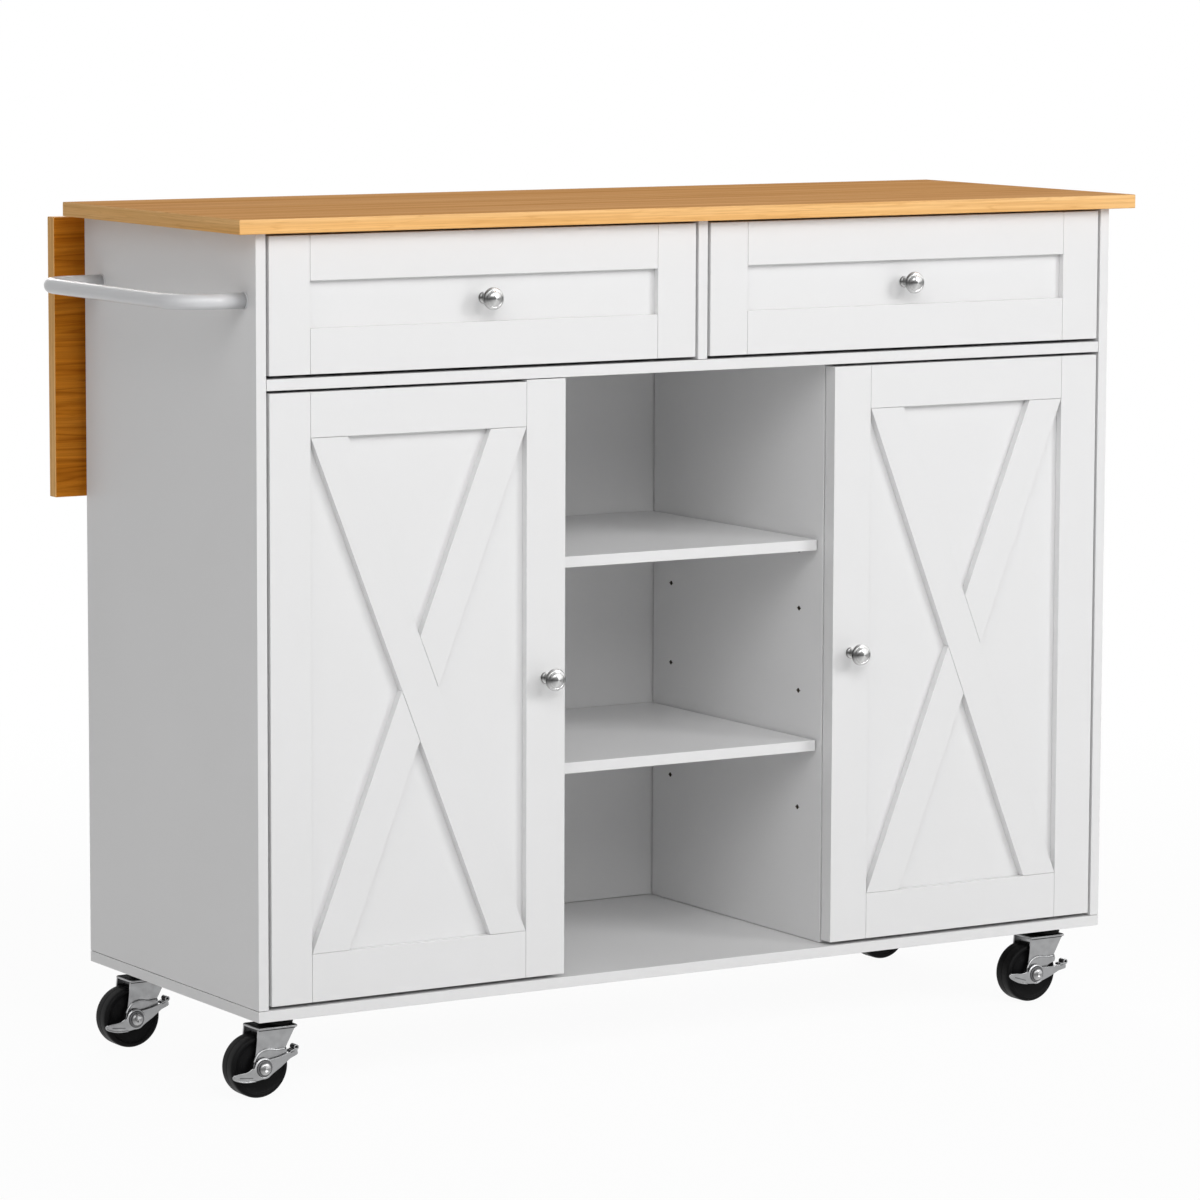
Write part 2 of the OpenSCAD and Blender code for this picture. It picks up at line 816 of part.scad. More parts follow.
// The drawer bottom with a gap all round; with no gap it is the groove that holds it
module drawer_floor(slack = 0) {
  edge = box_t - box_groove + slack;
  z = box_z0 + box_floor_up;
  low = [box_x0 + edge, front_t + edge, z + slack];
  high = [box_x0 + box_w - edge, box_y1 - edge, z + box_floor_t - slack];
  box_from(low, high);
}

module drawer_front_frame() {
  translate([door_x0, 0, drawer_z0]) framed_front(drawer_w, drawer_h, rail_w, rail_w, drawer_panel_t);
}

drawer_knob_at = [door_x0 + drawer_w / 2, front_t - drawer_panel_t, drawer_z0 + drawer_h / 2];

module drawer_front_panel() {
  difference() {
    translate([door_x0, 0, drawer_z0])
      front_panel(drawer_w, drawer_h, rail_w, rail_w, drawer_panel_t);
    translate(drawer_knob_at) knob_bore(drawer_panel_t);
  }
}

// Cross sections of a slide's members, from the wall outwards
module slide_profile(x0, x1, half, web_at_x0) {
  web_x = web_at_x0 ? x0 : x1 - slide_sheet;
  translate([web_x, -half]) square([slide_sheet, 2 * half]);
  for (z = [-half, half - slide_sheet]) translate([x0, z]) square([x1 - x0, slide_sheet]);
}

middle_half = slide_h / 2 - slide_sheet - slide_gap;
inner_half = middle_half - slide_sheet - slide_gap;

module along_slides() {
  for (s = [0, 1]) translate([s * (board + drawer_open_x1), 0, 0]) mirror([s, 0, 0])
    translate([board, slide_y0, slide_z]) rotate([-90, 0, 0]) linear_extrude(slide_len) children();
}

module slide_outer() {
  along_slides() slide_profile(0, slide_w - slide_lip, slide_h / 2, true);
}

module slide_middle() {
  step = slide_sheet + slide_gap;
  along_slides() slide_profile(step, slide_w - step, middle_half, true);
}

module slide_inner() {
  along_slides() slide_profile(2 * (slide_sheet + slide_gap), slide_w, inner_half, false);
}

module slide_outer_rails() {
  color(steel) at_cabinet() both_sides() slide_outer();
}

module left_drawer_front() {
  color(paint) at_cabinet() drawer_front_frame();
}
module left_drawer_panel() {
  color(paint) at_cabinet() drawer_front_panel();
}
module left_drawer_box() {
  color(paint) at_cabinet() drawer_box();
}
module left_drawer_bottom() {
  color(paint) at_cabinet() drawer_floor(panel_slack);
}
module left_drawer_knob() {
  color(bright) at_cabinet() translate(drawer_knob_at) knob(drawer_panel_t + box_t);
}
module left_slide_inner_rails() {
  color(steel) at_cabinet() slide_inner();
}
module left_slide_middle_rails() {
  color(steel) at_cabinet() slide_middle();
}

module right_drawer_front() {
  color(paint) at_cabinet() right_side() drawer_front_frame();
}
module right_drawer_panel() {
  color(paint) at_cabinet() right_side() drawer_front_panel();
}
module right_drawer_box() {
  color(paint) at_cabinet() right_side() drawer_box();
}
module right_drawer_bottom() {
  color(paint) at_cabinet() right_side() drawer_floor(panel_slack);
}
module right_drawer_knob() {
  color(bright) at_cabinet() right_side() translate(drawer_knob_at) knob(drawer_panel_t + box_t);
}
module right_slide_inner_rails() {
  color(steel) at_cabinet() right_side() slide_inner();
}
module right_slide_middle_rails() {
  color(steel) at_cabinet() right_side() slide_middle();
}

// ---------- drop leaf and its folding brackets ----------

module at_brackets() {
  at_cabinet() for (x = [-bracket_x, bracket_x])
    translate([cab_w / 2 + x, pivot_y, pivot_z]) children();
}

// The leaf hangs at rest, with its inner face on the leaf arms
module drop_leaf() {
  upper_edge = pivot_z + pivot_back - leaf_gap;
  color(wood) difference() {
    at_cabinet() translate([-top_side, pivot_y + pivot_low, upper_edge - leaf_drop])
      cube([cab_w + 2 * top_side, top_t, leaf_drop]);
    at_brackets() leaf_screw_holes();
  }
}

// Screws through each leaf arm's web into the leaf
leaf_screw_top = 30;
leaf_screw_mid = 20; // below the middle of the arm
leaf_screw_end = 8;
leaf_screw_zs = [-leaf_screw_top, -leaf_arm_len / 2 - leaf_screw_mid, leaf_screw_end - leaf_arm_len];

module at_leaf_screws() {
  for (z = leaf_screw_zs) translate([0, pivot_low - bracket_sheet, z]) rotate([-90, 0, 0]) children();
}

module leaf_screw_holes() {
  at_leaf_screws() translate([0, 0, -cut])
    cylinder(d = screw_d + 2 * fit, h = bracket_sheet + leaf_screw_in + fit + cut);
}

module leaf_screws() {
  color(steel) at_brackets() at_leaf_screws() {
    cylinder(d = screw_d, h = bracket_sheet + leaf_screw_in);
    translate([0, 0, -leaf_screw_head]) cylinder(d = screw_head_d, h = leaf_screw_head);
  }
}

// A pin along X, or with a clearance its bore
module cross_pin(half, slack = 0) {
  translate([-half, 0, 0]) rotate([0, 90, 0]) cylinder(d = bracket_pin_d + 2 * slack, h = 2 * half);
}

module bracket_wall_arms() {
  top = pivot_low - wall_arm_low;
  flange_out = 6; // the flanges past the pivot
  half = wall_arm_w / 2;
  color(bright) at_brackets() {
    difference() {
      union() {
        box_from([-half, -wall_off, top - wall_arm_len], [half, bracket_sheet - wall_off, top]);
        for (x = [-half, half - bracket_sheet])
          translate([x, -wall_off, top - wall_arm_len])
            cube([bracket_sheet, wall_off + flange_out, wall_arm_len]);
      }
      for (z = bracket_bolt_zs) translate([0, -wall_off - cut, z - pivot_z]) rotate([-90, 0, 0])
        cylinder(d = wall_bolt_d + 2 * fit, h = bracket_sheet + 2 * cut);
    }
    cross_pin(half + pin_out);
    translate([0, 0, -brace_drop]) cross_pin(half + pin_out);
  }
}

module bracket_leaf_arms() {
  half = leaf_arm_w / 2;
  web_y = pivot_low - bracket_sheet;
  lip_gap = 0.8;
  lip_y = bracket_pin_d / 2 + lip_gap; // the side lips start behind the pin
  ear = 8; // half the width of the ears round the pin
  ear_low = 14;
  color(bright) at_brackets() difference() {
    union() {
      box_from([-half, web_y, -leaf_arm_len], [half, pivot_low, pivot_back - leaf_gap]);
      for (x = [-half, half - bracket_sheet]) {
        box_from([x, lip_y, -leaf_arm_len], [x + bracket_sheet, web_y, -ear]);
        box_from([x, -ear, -ear_low], [x + bracket_sheet, web_y, ear]);
      }
    }
    cross_pin(half + cut, fit);
    leaf_screw_holes();
  }
}

module bracket_braces() {
  plate = bracket_sheet;
  color(steel) at_brackets() translate([0, 0, -brace_drop]) difference() {
    union() {
      for (x = [-brace_half, brace_half - plate]) {
        translate([x, -brace_w / 2, -brace_len]) cube([plate, brace_w, brace_len]);
        for (z = [0, -brace_len])
          translate([x, 0, z]) rotate([0, 90, 0]) cylinder(d = brace_w, h = plate);
      }
      translate([-brace_half, 0, 0])
        rotate([0, 90, 0]) cylinder(d = brace_tube_d, h = 2 * brace_half);
      translate([-brace_half, 0, -brace_len])
        rotate([0, 90, 0]) cylinder(r = roller_r, h = 2 * brace_half);
    }
    cross_pin(brace_half + cut, fit);
  }
}

// ---------- casters ----------

module at_casters() {
  at_cabinet() for (c = caster_spots) translate([c[0], c[1], 0]) children();
}

// Stem, ball race and kingpin under each corner
module caster_stems() {
  head_z = fork_top - fork_sheet - side_play;
  color(bright) at_casters() {
    translate([0, 0, caster_h]) cylinder(d = stem_d, h = stem_in);
    translate([0, 0, fork_top + side_play]) cylinder(d = race_d, h = race_t - side_play);
    translate([0, 0, head_z]) cylinder(d = kingpin_d, h = fork_sheet + race_t);
    translate([0, 0, head_z - kingpin_head_t]) cylinder(d = kingpin_head_d, h = kingpin_head_t);
  }
}

// A leg of the fork: wide under the top plate, narrower at its foot, with an eye for the axle
module fork_leg() {
  top_z = fork_top - axle_z - fork_sheet / 2;
  hull() {
    for (x = leg_foot) translate([x, leg_foot_z]) circle(r = leg_corner, $fn = 32);
    translate([fork_x0 + trail + leg_inset, top_z - cut]) square([fork_x1 - fork_x0 - 2 * leg_inset, cut]);
  }
  hull() {
    circle(r = leg_eye_r, $fn = 32);
    translate([0, leg_foot_z]) circle(r = leg_eye_r - 1, $fn = 32);
  }
}

module fork(k) {
  c = caster_spots[k];
  color(bright) at_cabinet() translate([c[0], c[1], 0]) {
    difference() {
      union() {
        translate([fork_x0, -fork_half - fork_rim, fork_top - fork_sheet])
          cube([fork_x1 - fork_x0, 2 * (fork_half + fork_rim), fork_sheet]);
        for (y = [-fork_half + fork_sheet, fork_half])
          translate([-trail, y, axle_z]) rotate([90, 0, 0]) linear_extrude(fork_sheet) fork_leg();
      }
      translate([0, 0, fork_top - fork_sheet - cut])
        cylinder(d = kingpin_d + 2 * fit, h = fork_sheet + 2 * cut);
    }
    axle();
  }
}

// Axle bolt with a spacer and a washer round the lever, its head in front and its nut at the back
module axle() {
  front = lever_y + lever_t + side_play;
  back = fork_half + axle_end;
  translate([-trail, 0, axle_z]) rotate([90, 0, 0]) {
    translate([0, 0, -back]) cylinder(d = axle_d, h = back + front + washer_t);
    translate([0, 0, fork_half]) cylinder(d = spacer_d, h = spacer_t);
    translate([0, 0, front]) cylinder(d = washer_d, h = washer_t);
    translate([0, 0, front + washer_t]) cylinder(d = axle_head_d, h = axle_head_t);
    translate([0, 0, -fork_half - axle_nut_t]) cylinder(d = axle_head_d, h = axle_nut_t, $fn = 6);
  }
}

// Half of a wheel's section: from the bore over the hub's face and the dish to the rounded tread
function wheel_half() =
  let (face = wheel_w / 2, hub_half = fork_half - fork_sheet - side_play,
       dish = 2, rim_r = wheel_d / 2 - 5, round_r = 2.5)
  [
    [axle_d / 2 + fit, hub_half], [hub_d / 2, hub_half], [hub_d / 2, face - dish],
    [rim_r, face - dish], [rim_r + 1, face],
    for (a = [90, 60, 30, 0])
      [wheel_d / 2 - round_r * (1 - cos(a)), face - round_r * (1 - sin(a))]
  ];

module wheel(k) {
  c = caster_spots[k];
  half = wheel_half();
  other = [for (i = [len(half) - 1:-1:0]) [half[i][0], -half[i][1]]];
  color(black) at_cabinet() translate([c[0] - trail, c[1], axle_z]) rotate([90, 0, 0])
    rotate_extrude() polygon(concat(half, other));
}

// The lever turns on the axle bolt: a tail over the rim, an eye and a foot tab
lever_tail = [[-11, 0], [-20, -2], [-30, -3.3], [-36, -4.5], [-36.5, -6], [-30, -9.5], [-21, -12],
              [-8, -12], [0, -11], [0, 0]];
lever_arm = [[2, -10.8], [10, -6], [19, -0.5], [30, 7.5], [39, 11.5], [37.5, 16], [30, 14.3],
             [19, 10.8], [8, 9], [0, 0]];

module lever_outline() {
  circle(d = lever_eye_d);
  polygon(lever_tail * (wheel_d / lever_for));
  polygon(lever_arm * (wheel_d / lever_for));
}

// Its foot tab is folded back over the tread
module brake_lever(k) {
  c = caster_spots[k];
  color(bright) at_cabinet() translate([c[0] - trail, c[1], axle_z]) rotate([0, lever_turns[k], 0])
    difference() {
      translate([0, -lever_y, 0]) {
        rotate([90, 0, 0]) linear_extrude(lever_t) lever_outline();
        translate([0, -lever_t, 0]) rotate([0, -tab_tilt, 0])
          translate([wheel_d / 2 + tab_gap, 0, -tab_sink]) cube([tab_len, tab_w, lever_t]);
      }
      translate([0, cut - lever_y, 0]) rotate([90, 0, 0])
        cylinder(d = axle_d + 2 * fit, h = lever_t + 2 * cut);
    }
}

module front_left_fork() { fork(0); }
module front_left_wheel() { wheel(0); }
module front_left_brake_lever() { brake_lever(0); }
module front_right_fork() { fork(1); }
module front_right_wheel() { wheel(1); }
module front_right_brake_lever() { brake_lever(1); }
module rear_left_fork() { fork(2); }
module rear_left_wheel() { wheel(2); }
module rear_left_brake_lever() { brake_lever(2); }
module rear_right_fork() { fork(3); }
module rear_right_wheel() { wheel(3); }
module rear_right_brake_lever() { brake_lever(3); }

bottom_panel();
left_side_panel();
right_side_panel();
middle_panel();
left_divider();
right_divider();
drawer_divider();
back_panel();
worktop();
upper_shelf();
lower_shelf();
cupboard_shelves();
shelf_pins();
carcass_dowels();
towel_bar();
cabinet_screws();
hinge_arms();
slide_outer_rails();
bracket_wall_arms();
caster_stems();
left_door_frame();
left_door_panel();
left_door_cross();
left_door_knob();
left_door_hinge_cups();
right_door_frame();
right_door_panel();
right_door_cross();
right_door_knob();
right_door_hinge_cups();
left_drawer_front();
left_drawer_panel();
left_drawer_box();
left_drawer_bottom();
left_drawer_knob();
left_slide_inner_rails();
left_slide_middle_rails();
right_drawer_front();
right_drawer_panel();
right_drawer_box();
right_drawer_bottom();
right_drawer_knob();
right_slide_inner_rails();
right_slide_middle_rails();
drop_leaf();
bracket_leaf_arms();
leaf_screws();
bracket_braces();
front_left_fork();
front_left_wheel();
front_left_brake_lever();
front_right_fork();
front_right_wheel();
front_right_brake_lever();
rear_left_fork();
rear_left_wheel();
rear_left_brake_lever();
rear_right_fork();
rear_right_wheel();
rear_right_brake_lever();
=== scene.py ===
import json
import math
import bmesh
import bpy
from mathutils import Matrix, Vector


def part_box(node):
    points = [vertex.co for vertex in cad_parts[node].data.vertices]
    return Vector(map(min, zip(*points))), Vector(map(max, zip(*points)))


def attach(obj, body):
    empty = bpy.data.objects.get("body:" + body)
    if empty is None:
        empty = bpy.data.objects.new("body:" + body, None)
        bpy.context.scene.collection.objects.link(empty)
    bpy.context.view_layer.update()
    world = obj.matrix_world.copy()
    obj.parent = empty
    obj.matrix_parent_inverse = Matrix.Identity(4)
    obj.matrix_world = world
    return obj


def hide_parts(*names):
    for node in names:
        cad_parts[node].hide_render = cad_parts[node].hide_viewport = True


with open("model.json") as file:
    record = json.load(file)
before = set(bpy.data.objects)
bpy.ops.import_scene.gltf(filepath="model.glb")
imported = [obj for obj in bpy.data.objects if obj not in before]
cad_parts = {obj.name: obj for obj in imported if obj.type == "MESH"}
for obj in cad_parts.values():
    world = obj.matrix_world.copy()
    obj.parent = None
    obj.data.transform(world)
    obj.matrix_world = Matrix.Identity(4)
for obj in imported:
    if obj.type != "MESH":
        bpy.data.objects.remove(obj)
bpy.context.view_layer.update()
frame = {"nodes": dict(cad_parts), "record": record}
scene = bpy.context.scene
nodes = frame["nodes"]
mm = 0.001
print("frame loaded:", len(nodes), "nodes")


# node helpers: a value may be plain or another node's socket

def addNode(tree, kind, **values):
    node = tree.nodes.new(kind)
    for name, value in values.items():
        setattr(node, name, value)
    return node


def plug(socket, value):
    if isinstance(value, bpy.types.NodeSocket):
        socket.id_data.links.new(value, socket)
    else:
        socket.default_value = value


def feed(node, **values):
    for name, value in values.items():
        plug(node.inputs[name.replace("_", " ")], value)
    return node


def mathNode(tree, operation, a, b, clamp=False):
    node = addNode(tree, "ShaderNodeMath", operation=operation, use_clamp=clamp)
    plug(node.inputs[0], a)
    plug(node.inputs[1], b)
    return node.outputs[0]


def vectorNode(tree, operation, *values):
    node = addNode(tree, "ShaderNodeVectorMath", operation=operation)
    for socket, value in zip(node.inputs, values):
        plug(socket, value)
    return node.outputs["Value" if operation == "LENGTH" else "Vector"]


def mixColour(tree, factor, a, b, blend="MIX"):
    node = addNode(tree, "ShaderNodeMix", data_type="RGBA", blend_type=blend)
    for index, value in ((0, factor), (6, a), (7, b)):
        plug(node.inputs[index], value)
    return node.outputs[2]


def noise(tree, place, scale, detail, roughness=0.5):
    node = addNode(tree, "ShaderNodeTexNoise")
    return feed(node, Vector=place, Scale=scale, Detail=detail, Roughness=roughness).outputs["Fac"]


def ramp(tree, value, stops):
    node = addNode(tree, "ShaderNodeValToRGB")
    plug(node.inputs[0], value)
    elements = node.color_ramp.elements
    while len(elements) < len(stops):
        elements.new(0.5)
    for element, (position, level) in zip(elements, stops):
        element.position = position
        element.color = (level, level, level, 1)
    return node.outputs[0]


def remap(tree, value, fromLow, fromHigh, toLow=0.0, toHigh=1.0):
    node = addNode(tree, "ShaderNodeMapRange", clamp=True)
    for index, number in enumerate((value, fromLow, fromHigh, toLow, toHigh)):
        plug(node.inputs[index], number)
    return node.outputs[0]


floatSocket = "NodeSocketFloat"
colourSocket = "NodeSocketColor"
vectorSocket = "NodeSocketVector"


def newGroup(name, inputs, outputs):
    tree = bpy.data.node_groups.new(name, "ShaderNodeTree")
    for label, kind, value in [("Place", vectorSocket, None)] + inputs:
        socket = tree.interface.new_socket(name=label, in_out="INPUT", socket_type=kind)
        if value is not None:
            socket.default_value = value
    for label, kind in outputs:
        tree.interface.new_socket(name=label, in_out="OUTPUT", socket_type=kind)
    start = addNode(tree, "NodeGroupInput")
    end = addNode(tree, "NodeGroupOutput")
    return tree, start.outputs, end.inputs


# shared effects

# per layer: stretch of the place, detail and roughness, and the noise values taken as none and full
grainLayers = {
    "bands": ((0.9, 38.0, 38.0), 3.0, 0.55, 0.36, 0.66),
    "streaks": ((3.0, 330.0, 330.0), 4.0, 0.6, 0.38, 0.64),
    "hairs": ((9.0, 1300.0, 1300.0), 2.0, 0.5, 0.5, 0.75),
    "pores": ((45.0, 1900.0, 1900.0), 2.0, 0.5, 0.6, 0.72),
}
grainShares = {"streaks": 0.45, "hairs": 0.25, "lineStretch": 0.035, "lineSpacing": 0.07, "lineWidth": 0.022,
               "streakRelief": 0.35, "streakGloss": 0.06, "poreGloss": 0.25}


def makeWoodGrain():
    # long streaks along the place's X, broader bands behind them and short dark pores
    tree, given, result = newGroup(
        "woodGrain",
        [("Light", colourSocket, (0.7, 0.4, 0.15, 1)), ("Middle", colourSocket, (0.6, 0.3, 0.1, 1)),
         ("Dark", colourSocket, (0.4, 0.2, 0.06, 1)), ("Waviness", floatSocket, 0.004),
         ("Pore Depth", floatSocket, 0.3), ("Line Scale", floatSocket, 60.0),
         ("Line Depth", floatSocket, 0.4)],
        [("Color", colourSocket), ("Height", floatSocket), ("Gloss Change", floatSocket)])
    drift = feed(addNode(tree, "ShaderNodeTexNoise"), Scale=1.0, Detail=2.0, Roughness=0.45,
                 Vector=vectorNode(tree, "MULTIPLY", given["Place"], (3.5, 14.0, 14.0)))
    centred = vectorNode(tree, "SUBTRACT", drift.outputs["Color"], (0.5, 0.5, 0.5))
    place = vectorNode(tree, "MULTIPLY_ADD", centred, given["Waviness"], given["Place"])
    mask = {}
    for layer, (stretch, detail, roughness, low, high) in grainLayers.items():
        value = noise(tree, vectorNode(tree, "MULTIPLY", place, stretch), 1.0, detail, roughness)
        mask[layer] = remap(tree, value, low, high)
    colour = mixColour(tree, mask["bands"], given["Middle"], given["Light"])
    for layer in ("streaks", "hairs"):
        share = mathNode(tree, "MULTIPLY", mask[layer], grainShares[layer])
        colour = mixColour(tree, share, colour, given["Dark"])
    # the thin dark lines of the year rings are the contours of a long, slow noise
    scale = given["Line Scale"]
    reach = feed(addNode(tree, "ShaderNodeCombineXYZ"), Y=scale, Z=scale,
                 X=mathNode(tree, "MULTIPLY", scale, grainShares["lineStretch"]))
    rings = noise(tree, vectorNode(tree, "MULTIPLY", place, reach.outputs[0]), 1.0, 2.5)
    fold = mathNode(tree, "PINGPONG", rings, grainShares["lineSpacing"])
    lines = mathNode(tree, "MULTIPLY", remap(tree, fold, 0.0, grainShares["lineWidth"], 1.0, 0.0),
                     given["Line Depth"])
    pores = mathNode(tree, "MULTIPLY", mask["pores"], given["Pore Depth"])
    for share in (lines, pores):
        colour = mixColour(tree, share, colour, given["Dark"])
    plug(result["Color"], colour)
    sunk = mathNode(tree, "MULTIPLY", mask["streaks"], -grainShares["streakRelief"])
    plug(result["Height"], mathNode(tree, "SUBTRACT", sunk, pores))
    plug(result["Gloss Change"], mathNode(
        tree, "ADD", mathNode(tree, "MULTIPLY", mask["streaks"], grainShares["streakGloss"]),
        mathNode(tree, "MULTIPLY", pores, grainShares["poreGloss"])))
    return tree


def makeSurfaceLife():
    # large soft clouding, fine skin texture and a little dust, each as a value round its middle
    tree, given, result = newGroup(
        "surfaceLife",
        [("Cloud Size", floatSocket, 0.15), ("Skin Size", floatSocket, 0.0012),
         ("Cloud Amount", floatSocket, 0.03), ("Skin Amount", floatSocket, 1.0)],
        [("Cloud", floatSocket), ("Skin", floatSocket), ("Dust", floatSocket)])
    place = given["Place"]
    cloud = noise(tree, place, mathNode(tree, "DIVIDE", 1.0, given["Cloud Size"]), 4.0, 0.55)
    skin = noise(tree, place, mathNode(tree, "DIVIDE", 1.0, given["Skin Size"]), 2.0)
    around = mathNode(tree, "SUBTRACT", cloud, 0.5)
    plug(result["Cloud"], mathNode(tree, "MULTIPLY", around, given["Cloud Amount"]))
    plug(result["Skin"], mathNode(tree, "MULTIPLY", skin, given["Skin Amount"]))
    plug(result["Dust"], remap(tree, noise(tree, place, 900.0, 1.0), 0.68, 0.8))
    return tree


def makeEdgeWear():
    # worn, brighter edges from the mesh's own curvature, broken up by noise
    tree, given, result = newGroup(
        "edgeWear", [("Reach", floatSocket, 0.56), ("Break Up", floatSocket, 250.0)], [("Wear", floatSocket)])
    shape = addNode(tree, "ShaderNodeNewGeometry")
    broken = remap(tree, noise(tree, given["Place"], given["Break Up"], 3.0), 0.35, 0.6)
    raised = mathNode(tree, "SUBTRACT", shape.outputs["Pointiness"], given["Reach"])
    raised = mathNode(tree, "MULTIPLY", raised, 14.0, clamp=True)
    plug(result["Wear"], mathNode(tree, "MULTIPLY", raised, broken))
    return tree


# painted reflection: where each sector of a turn starts, and its brightness; fixed light and dark wedges
# round the axis
paintedReflectionSectors = [(0.0, 0.10), (0.07, 0.42), (0.20, 0.66), (0.36, 0.60), (0.45, 0.30), (0.52, 0.28), (0.60, 0.95),
           (0.76, 1.0), (0.83, 0.36), (0.93, 0.16), (1.0, 0.10)]


def makeRingsAndPaintedReflection():
    # the fine grooves of a lathe round the local Y axis as relief, and painted reflection: fixed light and
    # dark sectors round the axis that scale the colour
    tree, given, result = newGroup(
        "ringsAndPaintedReflection", [("Groove", floatSocket, 0.0003), ("Contrast", floatSocket, 1.0)],
        [("Height", floatSocket), ("PaintedReflection", floatSocket)])
    reach = vectorNode(tree, "LENGTH", vectorNode(tree, "MULTIPLY", given["Place"], (1.0, 0.0, 1.0)))
    rings = feed(addNode(tree, "ShaderNodeTexNoise", noise_dimensions="1D"), Scale=1.0, Detail=2.0,
                 W=mathNode(tree, "DIVIDE", reach, given["Groove"]))
    plug(result["Height"], rings.outputs["Fac"])
    parts = addNode(tree, "ShaderNodeSeparateXYZ")
    plug(parts.inputs[0], given["Place"])
    angle = mathNode(tree, "ARCTAN2", parts.outputs["Z"], parts.outputs["X"])
    turn = mathNode(tree, "ADD", mathNode(tree, "DIVIDE", angle, 2 * math.pi), 0.5)
    level = addNode(tree, "ShaderNodeRGBToBW")
    plug(level.inputs[0], ramp(tree, turn, paintedReflectionSectors))
    eased = mathNode(tree, "MULTIPLY", mathNode(tree, "SUBTRACT", level.outputs[0], 1.0), given["Contrast"])
    plug(result["PaintedReflection"], mathNode(tree, "ADD", eased, 1.0))
    return tree


woodGrain = makeWoodGrain()
ringsAndPaintedReflection = makeRingsAndPaintedReflection()
surfaceLife = makeSurfaceLife()
edgeWear = makeEdgeWear()


# materials

def newMaterial(name, **shader):
    material = bpy.data.materials.new(name)
    material.use_nodes = True
    tree = material.node_tree
    surface = feed(tree.nodes["Principled BSDF"], **shader)
    return material, tree, surface, addNode(tree, "ShaderNodeTexCoord").outputs["Object"]


def placeGroup(tree, group, place, **values):
    return feed(addNode(tree, "ShaderNodeGroup", node_tree=group), Place=place, **values).outputs


def cover(surface, colour, roughness, change, height, depth, strength):
    # the end of every material: its colour, its roughness round a middle value and its relief
    tree = surface.id_data
    bump = feed(addNode(tree, "ShaderNodeBump"), Strength=strength, Distance=depth, Height=height)
    feed(surface, Base_Color=colour, Roughness=mathNode(tree, "ADD", change, roughness),
         Normal=bump.outputs["Normal"])


def clouded(tree, life, share, colour, shade):
    return mixColour(tree, mathNode(tree, "ADD", life["Cloud"], share, clamp=True), colour, shade)


whiteBoard = {"colour": (0.800, 0.800, 0.806, 1), "shade": (0.760, 0.758, 0.752, 1), "roughness": 0.42,
              "clouding": 0.5, "cloudSize": 0.22, "skinSize": 0.0011, "skinDepth": 0.00002, "relief": 0.6,
              "coat": 0.12, "coatRoughness": 0.25, "glossChange": 0.3, "dust": 0.05}
barFinish = {"colour": (0.66, 0.665, 0.68, 1), "shade": (0.60, 0.60, 0.61, 1), "roughness": 0.36,
             "clouding": 0.3, "cloudSize": 0.05, "skinSize": 0.0007, "skinDepth": 0.00003, "relief": 0.5,
             "coat": 0.35, "coatRoughness": 0.22, "glossChange": 0.4, "dust": 0.0}


def makePaint(name, values):
    material, tree, surface, place = newMaterial(name, Coat_Weight=values["coat"],
                                                 Coat_Roughness=values["coatRoughness"])
    life = placeGroup(tree, surfaceLife, place, Cloud_Size=values["cloudSize"],
                      Cloud_Amount=values["clouding"], Skin_Size=values["skinSize"])
    colour = clouded(tree, life, 0.3, values["colour"], values["shade"])
    dusty = mixColour(tree, mathNode(tree, "MULTIPLY", life["Dust"], values["dust"]), colour,
                      (0.45, 0.43, 0.4, 1))
    gloss = mathNode(tree, "MULTIPLY", life["Cloud"], values["glossChange"])
    cover(surface, dusty, values["roughness"], gloss, life["Skin"], values["skinDepth"], values["relief"])
    return material


topWood = {"light": (0.900, 0.520, 0.240, 1), "middle": (0.720, 0.370, 0.135, 1),
           "dark": (0.440, 0.180, 0.050, 1), "roughness": 0.66, "waviness": 0.006, "pores": 0.3,
           "sheen": 0.0, "lineScale": 22.0, "lineDepth": 0.4}
# the leaf's wood is darker and more orange than the worktop's: painted shade for the shade that the hanging
# leaf sits in
leafWoodPaintedShade = {"light": (0.660, 0.245, 0.026, 1), "middle": (0.550, 0.178, 0.012, 1),
            "dark": (0.240, 0.062, 0.003, 1), "roughness": 0.60, "waviness": 0.020, "pores": 0.35,
            "sheen": 0.0, "lineScale": 48.0, "lineDepth": 0.6}
bandWood = {"light": (0.990, 0.650, 0.310, 1), "middle": (0.910, 0.510, 0.180, 1),
            "dark": (0.560, 0.250, 0.055, 1), "roughness": 0.55, "waviness": 0.002, "pores": 0.2,
            "sheen": 0.08, "lineScale": 150.0, "lineDepth": 0.3}


def makeWood(name, values, turnedRound=None):
    # the grain runs along X, or along the axis that a quarter turn brings it to
    material, tree, surface, place = newMaterial(name, Specular_IOR_Level=values["sheen"])
    if turnedRound:
        turned = addNode(tree, "ShaderNodeVectorRotate", rotation_type=turnedRound)
        place = feed(turned, Vector=place, Angle=math.pi / 2).outputs[0]
    grain = placeGroup(tree, woodGrain, place, Light=values["light"], Middle=values["middle"],
                       Dark=values["dark"], Waviness=values["waviness"], Pore_Depth=values["pores"],
                       Line_Scale=values["lineScale"], Line_Depth=values["lineDepth"])
    life = placeGroup(tree, surfaceLife, place, Cloud_Size=0.3, Cloud_Amount=0.5, Skin_Size=0.0008)
    cover(surface, clouded(tree, life, 0.15, grain["Color"], values["middle"]), values["roughness"],
          grain["Gloss Change"], grain["Height"], 0.00006, 0.7)
    return material


